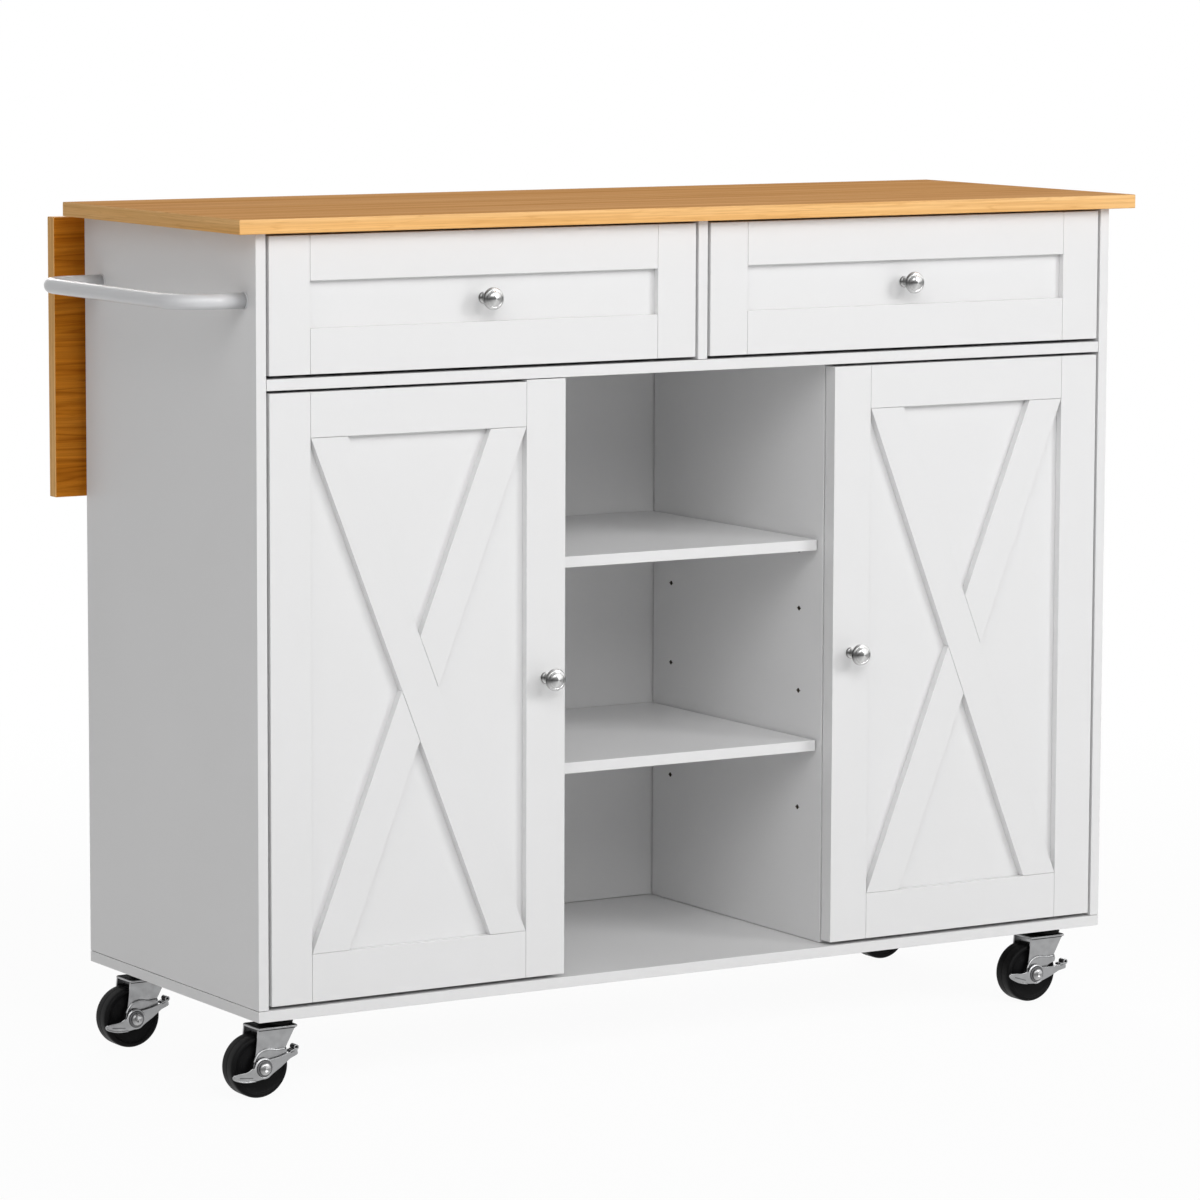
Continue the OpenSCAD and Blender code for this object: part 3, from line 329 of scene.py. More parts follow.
def makeMetal(name, colour, roughness, tint, clouding=0.6, stretch=(1, 1, 1), metallic=1.0):
    material, tree, surface, place = newMaterial(name, Metallic=metallic)
    life = placeGroup(tree, surfaceLife, vectorNode(tree, "MULTIPLY", place, stretch), Cloud_Size=0.012,
                      Cloud_Amount=clouding, Skin_Size=0.0005)
    worn = placeGroup(tree, edgeWear, place)
    base = clouded(tree, life, 0.25, colour, tint)
    lit = mixColour(tree, mathNode(tree, "MULTIPLY", worn["Wear"], 0.25), base,
                    tuple(min(1.0, c * 1.25) for c in colour[:3]) + (1,))
    gloss = mathNode(tree, "MULTIPLY", life["Cloud"], 0.35)
    cover(surface, lit, roughness, gloss, life["Skin"], 0.00001, 0.5)
    return material


def makeTurnedMetalWithPaintedReflection(name, colour, roughness, paintedReflectionStrength):
    material, tree, surface, place = newMaterial(name, Metallic=1.0)
    turned = placeGroup(tree, ringsAndPaintedReflection, place, Groove=0.0003, Contrast=paintedReflectionStrength)
    life = placeGroup(tree, surfaceLife, place, Cloud_Size=0.006, Cloud_Amount=0.3, Skin_Size=0.0004)
    # the painted reflection sectors darken and brighten the colour round the axis, with a little clouding
    level = mathNode(tree, "ADD", turned["PaintedReflection"], life["Cloud"], clamp=True)
    cover(surface, mixColour(tree, 1.0, colour, level, "MULTIPLY"), roughness,
          mathNode(tree, "MULTIPLY", life["Cloud"], 0.3), turned["Height"], 0.00001, 0.7)
    return material


def makeRubber(name, colour, roughness, dustShare):
    material, tree, surface, place = newMaterial(name, Specular_IOR_Level=0.08)
    life = placeGroup(tree, surfaceLife, place, Cloud_Size=0.02, Cloud_Amount=0.8, Skin_Size=0.0006)
    worn = placeGroup(tree, edgeWear, place, Break_Up=400.0)
    dusty = mathNode(tree, "ADD", mathNode(tree, "MULTIPLY", life["Dust"], dustShare),
                     mathNode(tree, "MULTIPLY", worn["Wear"], dustShare * 0.5), clamp=True)
    base = clouded(tree, life, 0.3, colour, tuple(c * 1.8 for c in colour[:3]) + (1,))
    cover(surface, mixColour(tree, dusty, base, (0.16, 0.15, 0.14, 1)), roughness,
          mathNode(tree, "MULTIPLY", life["Cloud"], 0.3), life["Skin"], 0.00004, 0.6)
    return material


whitePaint = makePaint("whitePaint", whiteBoard)
insidePaint = makePaint("insidePaint", dict(whiteBoard, roughness=0.5, clouding=0.7))
woodTop = makeWood("woodTop", topWood)
woodLeaf = makeWood("woodLeaf", leafWoodPaintedShade)
woodBandFront = makeWood("woodBandFront", bandWood)
woodBandEnd = makeWood("woodBandEnd", bandWood, "Z_AXIS")
woodBandDrop = makeWood("woodBandDrop", bandWood, "Y_AXIS")
beechDowel = makeWood("beechDowel", dict(topWood, roughness=0.6))
# the knobs and the caster bolt heads carry painted reflection: light and dark sectors round their axes
turnedKnob = makeTurnedMetalWithPaintedReflection("turnedKnob", (0.93, 0.93, 0.925, 1), 0.16, 1.0)
turnedSteel = makeTurnedMetalWithPaintedReflection("turnedSteel", (0.60, 0.60, 0.605, 1), 0.25, 0.8)
zincSteel = makeMetal("zincSteel", (0.40, 0.403, 0.41, 1), 0.32, (0.19, 0.19, 0.19, 1), clouding=1.0)
brushedSteel = makeMetal("brushedSteel", (0.66, 0.67, 0.69, 1), 0.34, (0.50, 0.50, 0.51, 1),
                         stretch=(60, 1, 1))
darkSteel = makeMetal("darkSteel", (0.16, 0.16, 0.165, 1), 0.40, (0.07, 0.07, 0.07, 1), metallic=0.8)
barPaint = makePaint("barPaint", barFinish)
# bare board, made near black as painted shade for the insides of the bores
bareBoard = makeRubber("bareBoard", (0.060, 0.048, 0.038, 1), 0.9, 0.2)
tyreRubber = makeRubber("tyreRubber", (0.0035, 0.0035, 0.0038, 1), 0.45, 0.12)
hubPlastic = makeRubber("hubPlastic", (0.005, 0.005, 0.0053, 1), 0.34, 0.08)
# near black, used for painted shade on the casters: the sheet on each plate, the strip below it and the race
blackCover = makeRubber("blackCover", (0.004, 0.004, 0.0042, 1), 0.6, 0.05)
print("materials ready")


bodyOf = {node: body for body, members in frame["record"]["behaviour"]["bodies"].items()
          for node in members}


# mesh helpers, all in millimetres of a local frame

def spaced(name):
    return "".join(word.capitalize() if i else word for i, word in enumerate(name.split("_")))


def addPiece(name, bm, body, materials, stands, smooth=True, zero=(0, 0, 0)):
    # zero is the piece's own origin, on its axis where it is turned; without smooth each face keeps its own
    bmesh.ops.recalc_face_normals(bm, faces=bm.faces)
    bmesh.ops.translate(bm, verts=bm.verts, vec=-Vector(zero) * mm)
    mesh = bpy.data.meshes.new(name)
    bm.to_mesh(mesh)
    bm.free()
    piece = bpy.data.objects.new(name, mesh)
    piece.location = Vector(zero) * mm
    scene.collection.objects.link(piece)
    for material in materials:
        mesh.materials.append(material)
    if smooth:
        mesh.polygons.foreach_set("use_smooth", [True] * len(mesh.polygons))
        keepFlats = piece.modifiers.new("keepFlats", "WEIGHTED_NORMAL")
        keepFlats.weight = 60
    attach(piece, body)
    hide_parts(*stands)


def smoothLine(points, steps=4):
    # a curve through the points, so that a turned profile needs only a few of them
    line = []
    for i in range(len(points) - 1):
        before = points[max(i - 1, 0)]
        a, b = points[i], points[i + 1]
        after = points[min(i + 2, len(points) - 1)]
        for s in range(steps):
            t = s / steps
            line.append(tuple(
                0.5 * (2 * a[k] + (b[k] - before[k]) * t
                       + (2 * before[k] - 5 * a[k] + 4 * b[k] - after[k]) * t * t
                       + (3 * a[k] - before[k] - 3 * b[k] + after[k]) * t ** 3) for k in (0, 1)))
    line.append(points[-1])
    return line


def lathe(bm, profile, place, sides=40, material=0):
    # profile holds (radius, height) pairs; heights run along the local Z
    rings = []
    for radius, height in profile:
        if radius < 1e-4:
            rings.append([bm.verts.new(place @ Vector((0, 0, height)))])
            continue
        rings.append([bm.verts.new(place @ Vector((radius * math.cos(a), radius * math.sin(a), height)))
                      for a in (2 * math.pi * i / sides for i in range(sides))])
    for low, high in zip(rings, rings[1:]):
        for i in range(sides):
            j = (i + 1) % sides
            corners = [low[i % len(low)], low[j % len(low)], high[j % len(high)], high[i % len(high)]]
            corners = list(dict.fromkeys(corners))
            if len(corners) > 2:
                bm.faces.new(corners).material_index = material


def sheetPart(bm, outline, thickness, place, ease=0.35, holes=(), material=0):
    # a flat part cut to an outline in local XY, raised along Z, its rims eased
    part = bmesh.new()
    loops = [outline] + list(holes)
    edges = []
    for loop in loops:
        verts = [part.verts.new((x, y, 0)) for x, y in loop]
        edges += [part.edges.new((verts[i - 1], verts[i])) for i in range(len(verts))]
    bmesh.ops.triangle_fill(part, use_beauty=True, edges=edges)
    bmesh.ops.dissolve_limit(part, angle_limit=0.01, verts=part.verts, edges=part.edges)
    raised = bmesh.ops.extrude_face_region(part, geom=part.faces[:])
    bmesh.ops.translate(part, vec=(0, 0, thickness),
                        verts=[v for v in raised["geom"] if isinstance(v, bmesh.types.BMVert)])
    bmesh.ops.recalc_face_normals(part, faces=part.faces)
    if ease:
        rims = [e for e in part.edges if len(e.link_faces) == 2 and e.calc_face_angle(0) > 1.2]
        bmesh.ops.bevel(part, geom=rims, offset=ease, segments=2, profile=0.5, affect="EDGES",
                        clamp_overlap=True)
    joinInto(bm, part, place, material)


def joinInto(bm, part, place, material=0):
    part.verts.ensure_lookup_table()
    copies = [bm.verts.new(place @ v.co) for v in part.verts]
    for face in part.faces:
        copy = bm.faces.new([copies[v.index] for v in face.verts])
        copy.material_index, copy.smooth = material + face.material_index, face.smooth
    part.free()


def arc(centre, radius, start, end, steps=8):
    return [(centre[0] + radius * math.cos(math.radians(start + (end - start) * i / steps)),
             centre[1] + radius * math.sin(math.radians(start + (end - start) * i / steps)))
            for i in range(steps + 1)]


def circle(radius, steps, centre=(0, 0)):
    return arc(centre, radius, 0, 360 * (steps - 1) / steps, steps - 1)


def roundedCorners(points, radius, steps=5):
    # rounds each corner of an outline by the same radius
    line = []
    for i, point in enumerate(points):
        here = Vector(point)
        back = (Vector(points[i - 1]) - here).normalized()
        ahead = (Vector(points[(i + 1) % len(points)]) - here).normalized()
        half = back.angle(ahead) / 2
        cut = radius / math.tan(half)
        centre = here + (back + ahead).normalized() * radius / math.sin(half)
        first, last = here + back * cut - centre, here + ahead * cut - centre
        turn = first.angle_signed(last)
        for s in range(steps + 1):
            line.append(tuple(centre + Matrix.Rotation(-turn * s / steps, 2) @ first))
    return line


def crossHead(bm, place, size, shankLength):
    # a pan head screw with a cross recess; Z points out of the head, zero is under it
    headRadius, headHeight, shankRadius = size
    sides, arm, half, deep = 32, headRadius * 0.55, headRadius * 0.13, headHeight * 0.6
    dome = [(headRadius * math.cos(math.radians(a)), headHeight * (0.35 + 0.65 * math.sin(math.radians(a))))
            for a in (0, 20, 40)]
    lathe(bm, [(shankRadius, -shankLength), (shankRadius, 0), (headRadius, 0)] + dome, place, sides)
    part = bmesh.new()
    rim = [part.verts.new((dome[-1][0] * math.cos(a), dome[-1][0] * math.sin(a), dome[-1][1]))
           for a in (2 * math.pi * i / sides for i in range(sides))]
    corner = [(arm, -half), (arm, half), (half, half), (half, arm), (-half, arm), (-half, half),
              (-arm, half), (-arm, -half), (-half, -half), (-half, -arm), (half, -arm), (half, -half)]
    top = [part.verts.new((x, y, headHeight)) for x, y in corner]
    low = [part.verts.new((x * 0.8, y * 0.8, headHeight - deep)) for x, y in corner]
    edges = [part.edges.new((loop[i - 1], loop[i])) for loop in (rim, top) for i in range(len(loop))]
    bmesh.ops.triangle_fill(part, use_beauty=True, edges=edges)
    for i in range(len(top)):
        part.faces.new((top[i - 1], top[i], low[i], low[i - 1]))
    part.faces.new(low)
    joinInto(bm, part, place)


def along(axis, origin):
    # a frame whose Z lies along the given axis, in millimetres from the row frame's zero
    turn = Vector((0, 0, 1)).rotation_difference(Vector(axis)).to_matrix().to_4x4()
    return Matrix.Scale(mm, 4) @ Matrix.Translation(Vector(origin)) @ turn


def corners(node):
    low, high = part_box(node)
    return low / mm, high / mm


# boards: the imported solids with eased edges

boards = {
    "ease": {"carcass": 0.45, "front": 0.4, "top": 1.0, "metal": 0.3},
    "seam": {"front": (0.18, 0.18, 0.18), "carcass": (0.3, 0.3, 0.3), "divider": (0.18, 1.6, 0.3),
             "shelf": (1.5, 0.6, 0.18)},
    "divider": ["left_divider", "right_divider"],
    "shelf": ["upper_shelf", "lower_shelf", "cupboard_shelves"],
    "boreFloor": 60.0, "squareFrom": 0.9999, "sharpFrom": 35.0, "veneerFrom": 0.7, "joinWithin": 0.03,
    "carcass": ["bottom_panel", "left_side_panel", "right_side_panel", "middle_panel", "drawer_divider",
                "back_panel"],
    "front": ["left_door_panel", "right_door_panel", "left_drawer_panel", "right_drawer_panel"],
    "frames": ["left_door_frame", "right_door_frame", "left_drawer_front", "right_drawer_front"],
    "box": ["left_drawer_box", "left_drawer_bottom", "right_drawer_box", "right_drawer_bottom"],
    "metal": ["slide_outer_rails", "left_slide_inner_rails", "left_slide_middle_rails",
              "right_slide_inner_rails", "right_slide_middle_rails", "bracket_wall_arms",
              "bracket_leaf_arms", "bracket_braces", "hinge_arms"],
    "plain": {"carcass_dowels": "beechDowel", "left_door_hinge_cups": "brushedSteel",
              "right_door_hinge_cups": "brushedSteel"},
}


def closedShells(node):
    # the solids of a node, each as its own mesh: a shell ends where no edge is left open
    mesh = nodes[node].data
    spots = [tuple(round(c, 7) for c in v.co) for v in mesh.vertices]
    openEdges, faces, shells = set(), [], []
    for face in mesh.polygons:
        loop = [spots[i] for i in face.vertices]
        faces.append(loop)
        for a, b in zip(loop, loop[1:] + loop[:1]):
            if (b, a) in openEdges:
                openEdges.remove((b, a))
            else:
                openEdges.add((a, b))
        if not openEdges:
            shells.append(faces)
            faces = []
    if faces:
        shells.append(faces)
    return shells


def shellMesh(faces):
    bm = bmesh.new()
    made = {}
    for loop in faces:
        for spot in loop:
            if spot not in made:
                made[spot] = bm.verts.new(spot)
        if len(set(loop)) > 2:
            bm.faces.new([made[spot] for spot in loop])
    return bm


def isSquare(face):
    return max(abs(c) for c in face.normal) > boards["squareFrom"]


def easeEdges(bm, ease, shortest=5.0, seam=(0, 0, 0)):
    # rounds the long edges only, so that bores keep their size; the seam is a hairline left at the joints
    bmesh.ops.dissolve_limit(bm, angle_limit=math.radians(1), verts=bm.verts, edges=bm.edges)
    bm.normal_update()
    low = [min(v.co[k] for v in bm.verts) for k in range(3)]
    high = [max(v.co[k] for v in bm.verts) for k in range(3)]
    for face in bm.faces:
        # the walls and floors of bores show the bare board, made near black: partly the board's own colour,
        # partly painted shade for the inside of the holes
        spot = face.calc_center_median()
        inside = all(min(spot[k] - low[k], high[k] - spot[k]) > 0.5 * mm for k in range(3))
        small = face.calc_area() < boards["boreFloor"] * mm * mm
        face.material_index = 1 if not isSquare(face) or (inside and small) else 0
    sharp = math.radians(boards["sharpFrom"])
    rims = [e for e in bm.edges if len(e.link_faces) == 2 and e.calc_face_angle(0) > sharp
            and e.calc_length() > shortest * mm]
    ways = [{tuple(round(c) for c in f.normal) for f in vert.link_faces if isSquare(f)} for vert in bm.verts]
    for vert, facing in zip(bm.verts, ways):
        for way in facing:
            vert.co -= Vector([w * gap * mm for w, gap in zip(way, seam)])
    bmesh.ops.bevel(bm, geom=rims, offset=ease * mm, segments=3, profile=0.5, affect="EDGES",
                    clamp_overlap=True)
    bm.normal_update()
    for face in bm.faces:
        face.smooth = not isSquare(face)


def cutBoard(node, below=None, above=None):
    # one board of a glued frame, cut off at the joints across X, with its cut ends closed
    nudge = 0.02
    bm = shellMesh(closedShells(node)[0])
    for joint, way in ((below, 1), (above, -1)):
        if joint is None:
            continue
        x = (joint[0] + joint[1] * nudge) * mm
        cut = bmesh.ops.bisect_plane(bm, geom=bm.verts[:] + bm.edges[:] + bm.faces[:], dist=1e-8,
                                     plane_co=(x, 0, 0), plane_no=(way, 0, 0), clear_outer=True)
        rim = [e for e in cut["geom_cut"] if isinstance(e, bmesh.types.BMEdge)]
        bmesh.ops.edgenet_fill(bm, edges=rim)
        for vert in bm.verts:
            if abs(vert.co.x - x) < 0.5 * nudge * mm:
                vert.co.x = joint[0] * mm
    bmesh.ops.remove_doubles(bm, verts=bm.verts, dist=boards["joinWithin"] * mm)
    bmesh.ops.dissolve_degenerate(bm, edges=bm.edges, dist=1e-6)
    bmesh.ops.recalc_face_normals(bm, faces=bm.faces)
    return bm


def addBoard(node, ease, materials, shortest=5.0, seam=(0, 0, 0), pick=None):
    bm = bmesh.new()
    for faces in closedShells(node):
        solid = shellMesh(faces)
        easeEdges(solid, ease, shortest, seam)
        joinInto(bm, solid, Matrix.Identity(4))
    if pick:
        bm.normal_update()
        for face in bm.faces:
            face.material_index = pick(face.normal)
    addPiece(spaced(node), bm, bodyOf[node], materials, stands=[node], smooth=False)


front = {"stile": 47.0, "crossBar": 43.0, "tallStile": 2.0}


def addFramedFront(node):
    # two full-height stiles and the two rails between them, each with its own eased edges
    low, high = corners(node)
    left, right = (low.x + front["stile"], 1), (high.x - front["stile"], -1)
    bm = bmesh.new()
    for index, board in enumerate((cutBoard(node, below=left), cutBoard(node, below=right, above=left),
                                   cutBoard(node, above=right))):
        if node == "left_door_frame" and index == 2:
            # this stile runs a little higher than the other one, as it does on the real door
            for vert in board.verts:
                if vert.co.z > (high.z - 1) * mm:
                    vert.co.z += front["tallStile"] * mm
        easeEdges(board, boards["ease"]["front"], seam=boards["seam"]["front"])
        joinInto(bm, board, Matrix.Identity(4))
    addPiece(spaced(node), bm, bodyOf[node], [whitePaint, bareBoard], stands=[node],
             smooth=False)


def crossing(a, b, c, d):
    # where the line through a and b meets the line through c and d
    (ax, ay), (bx, by), (cx, cy), (dx, dy) = a, b, c, d
    t = ((cx - ax) * (dy - cy) - (cy - ay) * (dx - cx)) / ((bx - ax) * (dy - cy) - (by - ay) * (dx - cx))
    return ax + t * (bx - ax), ay + t * (by - ay)


def drawnIn(outline, by):
    # each side of a convex outline moved inward by the same amount
    sides = []
    pairs = list(zip(outline, outline[1:] + outline[:1]))
    turn = 1 if sum(a[0] * b[1] - b[0] * a[1] for a, b in pairs) > 0 else -1
    for a, b in pairs:
        way = (Vector(b) - Vector(a)).normalized()
        shift = Vector((-way.y, way.x)) * by * turn
        sides.append((Vector(a) + shift, Vector(b) + shift))
    return [crossing(*sides[i - 1], *sides[i]) for i in range(len(sides))]


def addCross(side):
    # one bar runs through from corner to corner and the other is in two halves
    node = side + "_door_cross"
    low, high = corners(node)
    wide, tall, bar, slack = high.x - low.x, high.z - low.z, front["crossBar"], boards["seam"]["front"][0]
    through = [(0, tall), (bar, tall), (wide, 0), (wide - bar, 0)]
    other = [(wide - bar, tall), (wide, tall), (bar, 0), (0, 0)]
    upper = [other[0], other[1], crossing(other[1], other[2], through[1], through[2]),
             crossing(other[0], other[3], through[1], through[2])]
    lower = [crossing(other[0], other[3], through[0], through[3]),
             crossing(other[1], other[2], through[0], through[3]), other[2], other[3]]
    bm = bmesh.new()
    place = (Matrix.Scale(mm, 4) @ Matrix.Translation((low.x, high.y, low.z))
             @ Matrix.Rotation(math.pi / 2, 4, "X"))
    for outline in (through, upper, lower):
        sheetPart(bm, drawnIn(outline, slack), high.y - low.y, place, ease=boards["ease"]["front"])
    addPiece(spaced(node), bm, bodyOf[node], [whitePaint], stands=[node])


for kind in ("carcass", "divider", "shelf"):
    for node in boards[kind]:
        addBoard(node, boards["ease"]["carcass"], [whitePaint, bareBoard], seam=boards["seam"][kind])
for node in boards["front"]:
    addBoard(node, boards["ease"]["front"], [whitePaint, bareBoard], seam=boards["seam"]["front"])
for node in boards["frames"]:
    addFramedFront(node)
for side in ("left", "right"):
    addCross(side)
for node in boards["box"]:
    addBoard(node, boards["ease"]["carcass"], [insidePaint, bareBoard], seam=boards["seam"]["front"])
for node in boards["metal"]:
    addBoard(node, boards["ease"]["metal"], [brushedSteel, brushedSteel], shortest=3.0)
for node, name in boards["plain"].items():
    nodes[node].data.materials.clear()
    nodes[node].data.materials.append(bpy.data.materials[name])
    for face in nodes[node].data.polygons:
        face.use_smooth = False


def woodFace(normal):
    # the broad faces, the long edges and the short end edges take their own veneer
    if abs(normal.x) > boards["veneerFrom"]:
        return 2
    return 1 if abs(normal.y) > boards["veneerFrom"] else 0


def leafFace(normal):
    # hanging down, the leaf turns its underside to the front, and that face takes a darker, more orange wood:
    # painted shade for the shade the leaf hangs in beside the cabinet; its other face carries on the worktop
    if abs(normal.x) > boards["veneerFrom"]:
        return 2
    if abs(normal.z) > boards["veneerFrom"]:
        return 1
    return 3 if normal.y > boards["veneerFrom"] else 0


addBoard("worktop", boards["ease"]["top"], [woodTop, woodBandFront, woodBandEnd], pick=woodFace)
addBoard("drop_leaf", boards["ease"]["top"], [woodLeaf, woodBandFront, woodBandDrop, woodTop], pick=leafFace)
print("boards done")


# knobs

knob = {
    "length": 26.0, "sides": 56,
    "foot": [(0, 0), (6.25, 0), (6.25, 0.9), (5.8, 1.9), (4.5, 3.0), (3.9, 4.8), (3.7, 8.0), (3.9, 11.5),
             (4.9, 14.4), (7.6, 16.3), (10.3, 17.4)],
    "head": [(10.3, 17.4), (11.5, 18.5), (11.75, 19.8), (11.3, 21.3), (10.1, 22.5), (9.1, 22.9)],
    "dome": [(9.1, 22.9), (8.7, 22.6), (8.2, 22.9), (6.9, 24.3), (4.6, 25.35), (2.2, 25.9), (0, 26.0)],
    "screw": (4.25, 2.2, 2.0),
}


def addKnob(node, hold):
    low, high = corners(node)
    centre = ((low.x + high.x) / 2, low.y + knob["length"], (low.z + high.z) / 2)
    bm = bmesh.new()
    profile = (knob["foot"][:2] + smoothLine(knob["foot"][1:]) + smoothLine(knob["head"])[1:]
               + smoothLine(knob["dome"])[1:])
    lathe(bm, profile[:1] + profile[2:], along((0, -1, 0), centre), knob["sides"])
    crossHead(bm, along((0, 1, 0), (centre[0], centre[1] + hold, centre[2])), knob["screw"], hold)
    addPiece(spaced(node), bm, bodyOf[node], [turnedKnob], stands=[node], zero=centre)


for side in ("left", "right"):
    doorLow, doorHigh = corners(side + "_door_frame")
    addKnob(side + "_door_knob", doorHigh.y - doorLow.y)
    screwEnd, panelFace = corners(side + "_drawer_knob")[1].y, corners(side + "_drawer_panel")[0].y
    addKnob(side + "_drawer_knob", screwEnd - knob["screw"][1] - panelFace)
print("knobs done")


# towel bar

towelBar = {"bendSteps": 14, "sides": 40, "bend": 38.0, "collarRadius": 9.0, "collarThick": 0.9}


def sweepTube(bm, points, radius, sides, place):
    # a round tube along a line that lies in the local XY
    rings, across = [], Vector((0, 0, 1))
    for i, point in enumerate(points):
        ahead = (points[min(i + 1, len(points) - 1)] - points[max(i - 1, 0)]).normalized()
        side = ahead.cross(across).normalized()
        rings.append([bm.verts.new(place @ (point + radius * (math.cos(a) * side + math.sin(a) * across)))
                      for a in (2 * math.pi * k / sides for k in range(sides))])
    for a, b in zip(rings, rings[1:]):
        for k in range(sides):
            j = (k + 1) % sides
            bm.faces.new((a[k], a[j], b[j], b[k]))
    bm.faces.new(rings[0])
    bm.faces.new(rings[-1])


def addTowelBar():
    low, high = corners("towel_bar")
    radius = (high.z - low.z) / 2
    z, out, wall, bend = low.z + radius, low.x + radius, high.x, towelBar["bend"]
    near, far = low.y + radius, high.y - radius
    path = [(wall, near)] + arc((out + bend, near + bend), bend, 270, 180, towelBar["bendSteps"])
    path += arc((out + bend, far - bend), bend, 180, 90, towelBar["bendSteps"]) + [(wall, far)]
    bm = bmesh.new()
    sweepTube(bm, [Vector((x, y, z)) for x, y in path], radius, towelBar["sides"], Matrix.Scale(mm, 4))
    collar, thick = towelBar["collarRadius"], towelBar["collarThick"]
    ring = [(radius - 1, 0), (collar, 0), (collar, thick * 0.6), (collar - 0.4, thick), (radius - 1, thick)]
    for y in (near, far):
        lathe(bm, ring, along((-1, 0, 0), (wall, y, z)), towelBar["sides"])
    addPiece("towelBar", bm, "cabinet", [barPaint], stands=["towel_bar"])


addTowelBar()
print("towel bar done")


# screws, bolts and shelf pins; a head holds its radius, its height and the radius of its shank

fasteners = {"barHead": (5.0, 3.0, 2.5), "wallHead": (6.0, 3.0, 3.0), "nutWide": 11.0,
             "nutThick": 4.5, "barBoltLeast": 20.0,
             "hingeHead": (3.75, 2.0, 2.0), "leafHead": (3.75, 1.2, 2.0), "pinRadius": 2.5,
             "collarRadius": 3.5, "collarThick": 0.8, "pinOut": 9.0, "pinIn": 7.7}


def looseParts(node):
    # the boxes of the separate solids in a node, in millimetres
    found = []
    for faces in closedShells(node):
        spots = [spot for loop in faces for spot in loop]
        found.append((Vector(min(c[k] for c in spots) for k in range(3)) / mm,
                      Vector(max(c[k] for c in spots) for k in range(3)) / mm))
    return found


def hexNut(bm, place, width, thick):
    # six flats with the corners turned off at both ends
    sheetPart(bm, circle(width / 2, 6), thick, place, ease=0.5)


def addCabinetScrews():
    # the towel bar's bolts lie along X, the brackets' bolts along Y and the short screws hold the hinge arms
    bm = bmesh.new()
    for low, high in looseParts("cabinet_screws"):
        middle, size = (low + high) / 2, high - low
        if size.y > size.x:
            head = fasteners["wallHead"]
            crossHead(bm, along((0, -1, 0), (middle.x, low.y + head[1], middle.z)), head, size.y - head[1])
            hexNut(bm, along((0, 1, 0), (middle.x, high.y - fasteners["nutThick"], middle.z)),
                   fasteners["nutWide"], fasteners["nutThick"] - 1.0)
            continue
        isBar = size.x > fasteners["barBoltLeast"]
        head = fasteners["barHead" if isBar else "hingeHead"]
        inward = 1 if isBar or middle.x < 0 else -1
        face = high.x - head[1] if inward > 0 else low.x + head[1]
        crossHead(bm, along((inward, 0, 0), (face, middle.y, middle.z)), head, size.x - head[1])
    addPiece("cabinetScrews", bm, "cabinet", [zincSteel], stands=["cabinet_screws"])


def addLeafScrews():
    bm = bmesh.new()
    head = fasteners["leafHead"]
    for low, high in looseParts("leaf_screws"):
        middle = (low + high) / 2
        crossHead(bm, along((0, -1, 0), (middle.x, low.y + head[1], middle.z)), head,
                  high.y - low.y - head[1])
    addPiece("leafScrews", bm, "leaf", [zincSteel], stands=["leaf_screws"])


def addShelfPins():
    bm = bmesh.new()
    r, collar, thick = fasteners["pinRadius"], fasteners["collarRadius"], fasteners["collarThick"]
    out, deep = fasteners["pinOut"], fasteners["pinIn"]
    profile = [(0, -deep), (r - 0.4, -deep), (r, 0.4 - deep), (r, 0), (collar, 0), (collar, thick - 0.2),
               (collar - 0.2, thick), (r, thick), (r, out - 0.8), (r - 0.8, out), (0, out)]
    walls = sorted({round(corner.x, 1) for board in ("left_side_panel", "left_divider", "right_divider",
                                                     "right_side_panel") for corner in corners(board)})
    for low, high in looseParts("shelf_pins"):
        middle = (low + high) / 2
        wall = min(walls, key=lambda x: abs(x - low.x - out) if low.x < x < high.x else 1e6)
        outward = -1 if wall - low.x > high.x - wall else 1
        lathe(bm, profile, along((outward, 0, 0), (wall, middle.y, middle.z)), 24)
    addPiece("shelfPins", bm, "cabinet", [zincSteel], stands=["shelf_pins"])


addCabinetScrews()
addLeafScrews()
addShelfPins()
print("fasteners done")


# casters: profiles and outlines are round the wheel's middle

caster = {
    "wheelRadius": 32.5, "wheelHalf": 12.5, "trail": 24.0, "axleUp": 32.5, "hubRadius": 11.0,
    "forkTop": 73.7, "plateBack": -5.0, "plateFront": 41.0, "forkHalf": 16.5, "sheet": 2.0, "rim": 1.2,
    "plateThick": 2.6, "boltHole": 4.05, "stemHole": 5.05, "cabinetFoot": 83.0, "legEase": 0.45,
    "plateEase": 0.9, "plateRound": 2.5, "shadeSheetInset": 1.0, "shadeSheetRound": 2.0, "shadeSheetThick": 0.25,
    "shadeSheetSunk": 0.05, "shadeLineHigh": 0.75, "shadeLineThick": 0.15, "bendRadius": 2.2, "axleRadius": 4.0,
    "nutWide": 13.0, "nutThick": 4.0, "humpThick": 1.4, "humpRim": 1.4, "lugDeep": 9.5, "ridgeDeep": 8.5,
    "footBack": -8.6, "footFront": 23.0, "footLow": 8.0, "eyeRadius": 10.0,
    "leverOut": 19.8, "leverThick": 1.6, "spacerRadius": 9.5, "washerRadius": 8.5, "boltRadius": 6.5,
    "boltHigh": 3.5, "raceRadius": 18.0, "stemRadius": 4.0, "brakeOn": {"front_right": 12.0},
}


def casterFrame(position):
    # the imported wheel's middle
    low, high = corners(position + "_wheel")
    return (low + high) / 2


def facing(middle, out=0.0):
    # the frame of a caster's side parts, whose Z points out to the front
    return along((0, -1, 0), (middle.x, middle.y - out, middle.z))


def swept(bm, points, height, radius, sides, place):
    sweepTube(bm, [Vector((x, y, height)) for x, y in smoothLine(points, 3)], radius, sides, place)


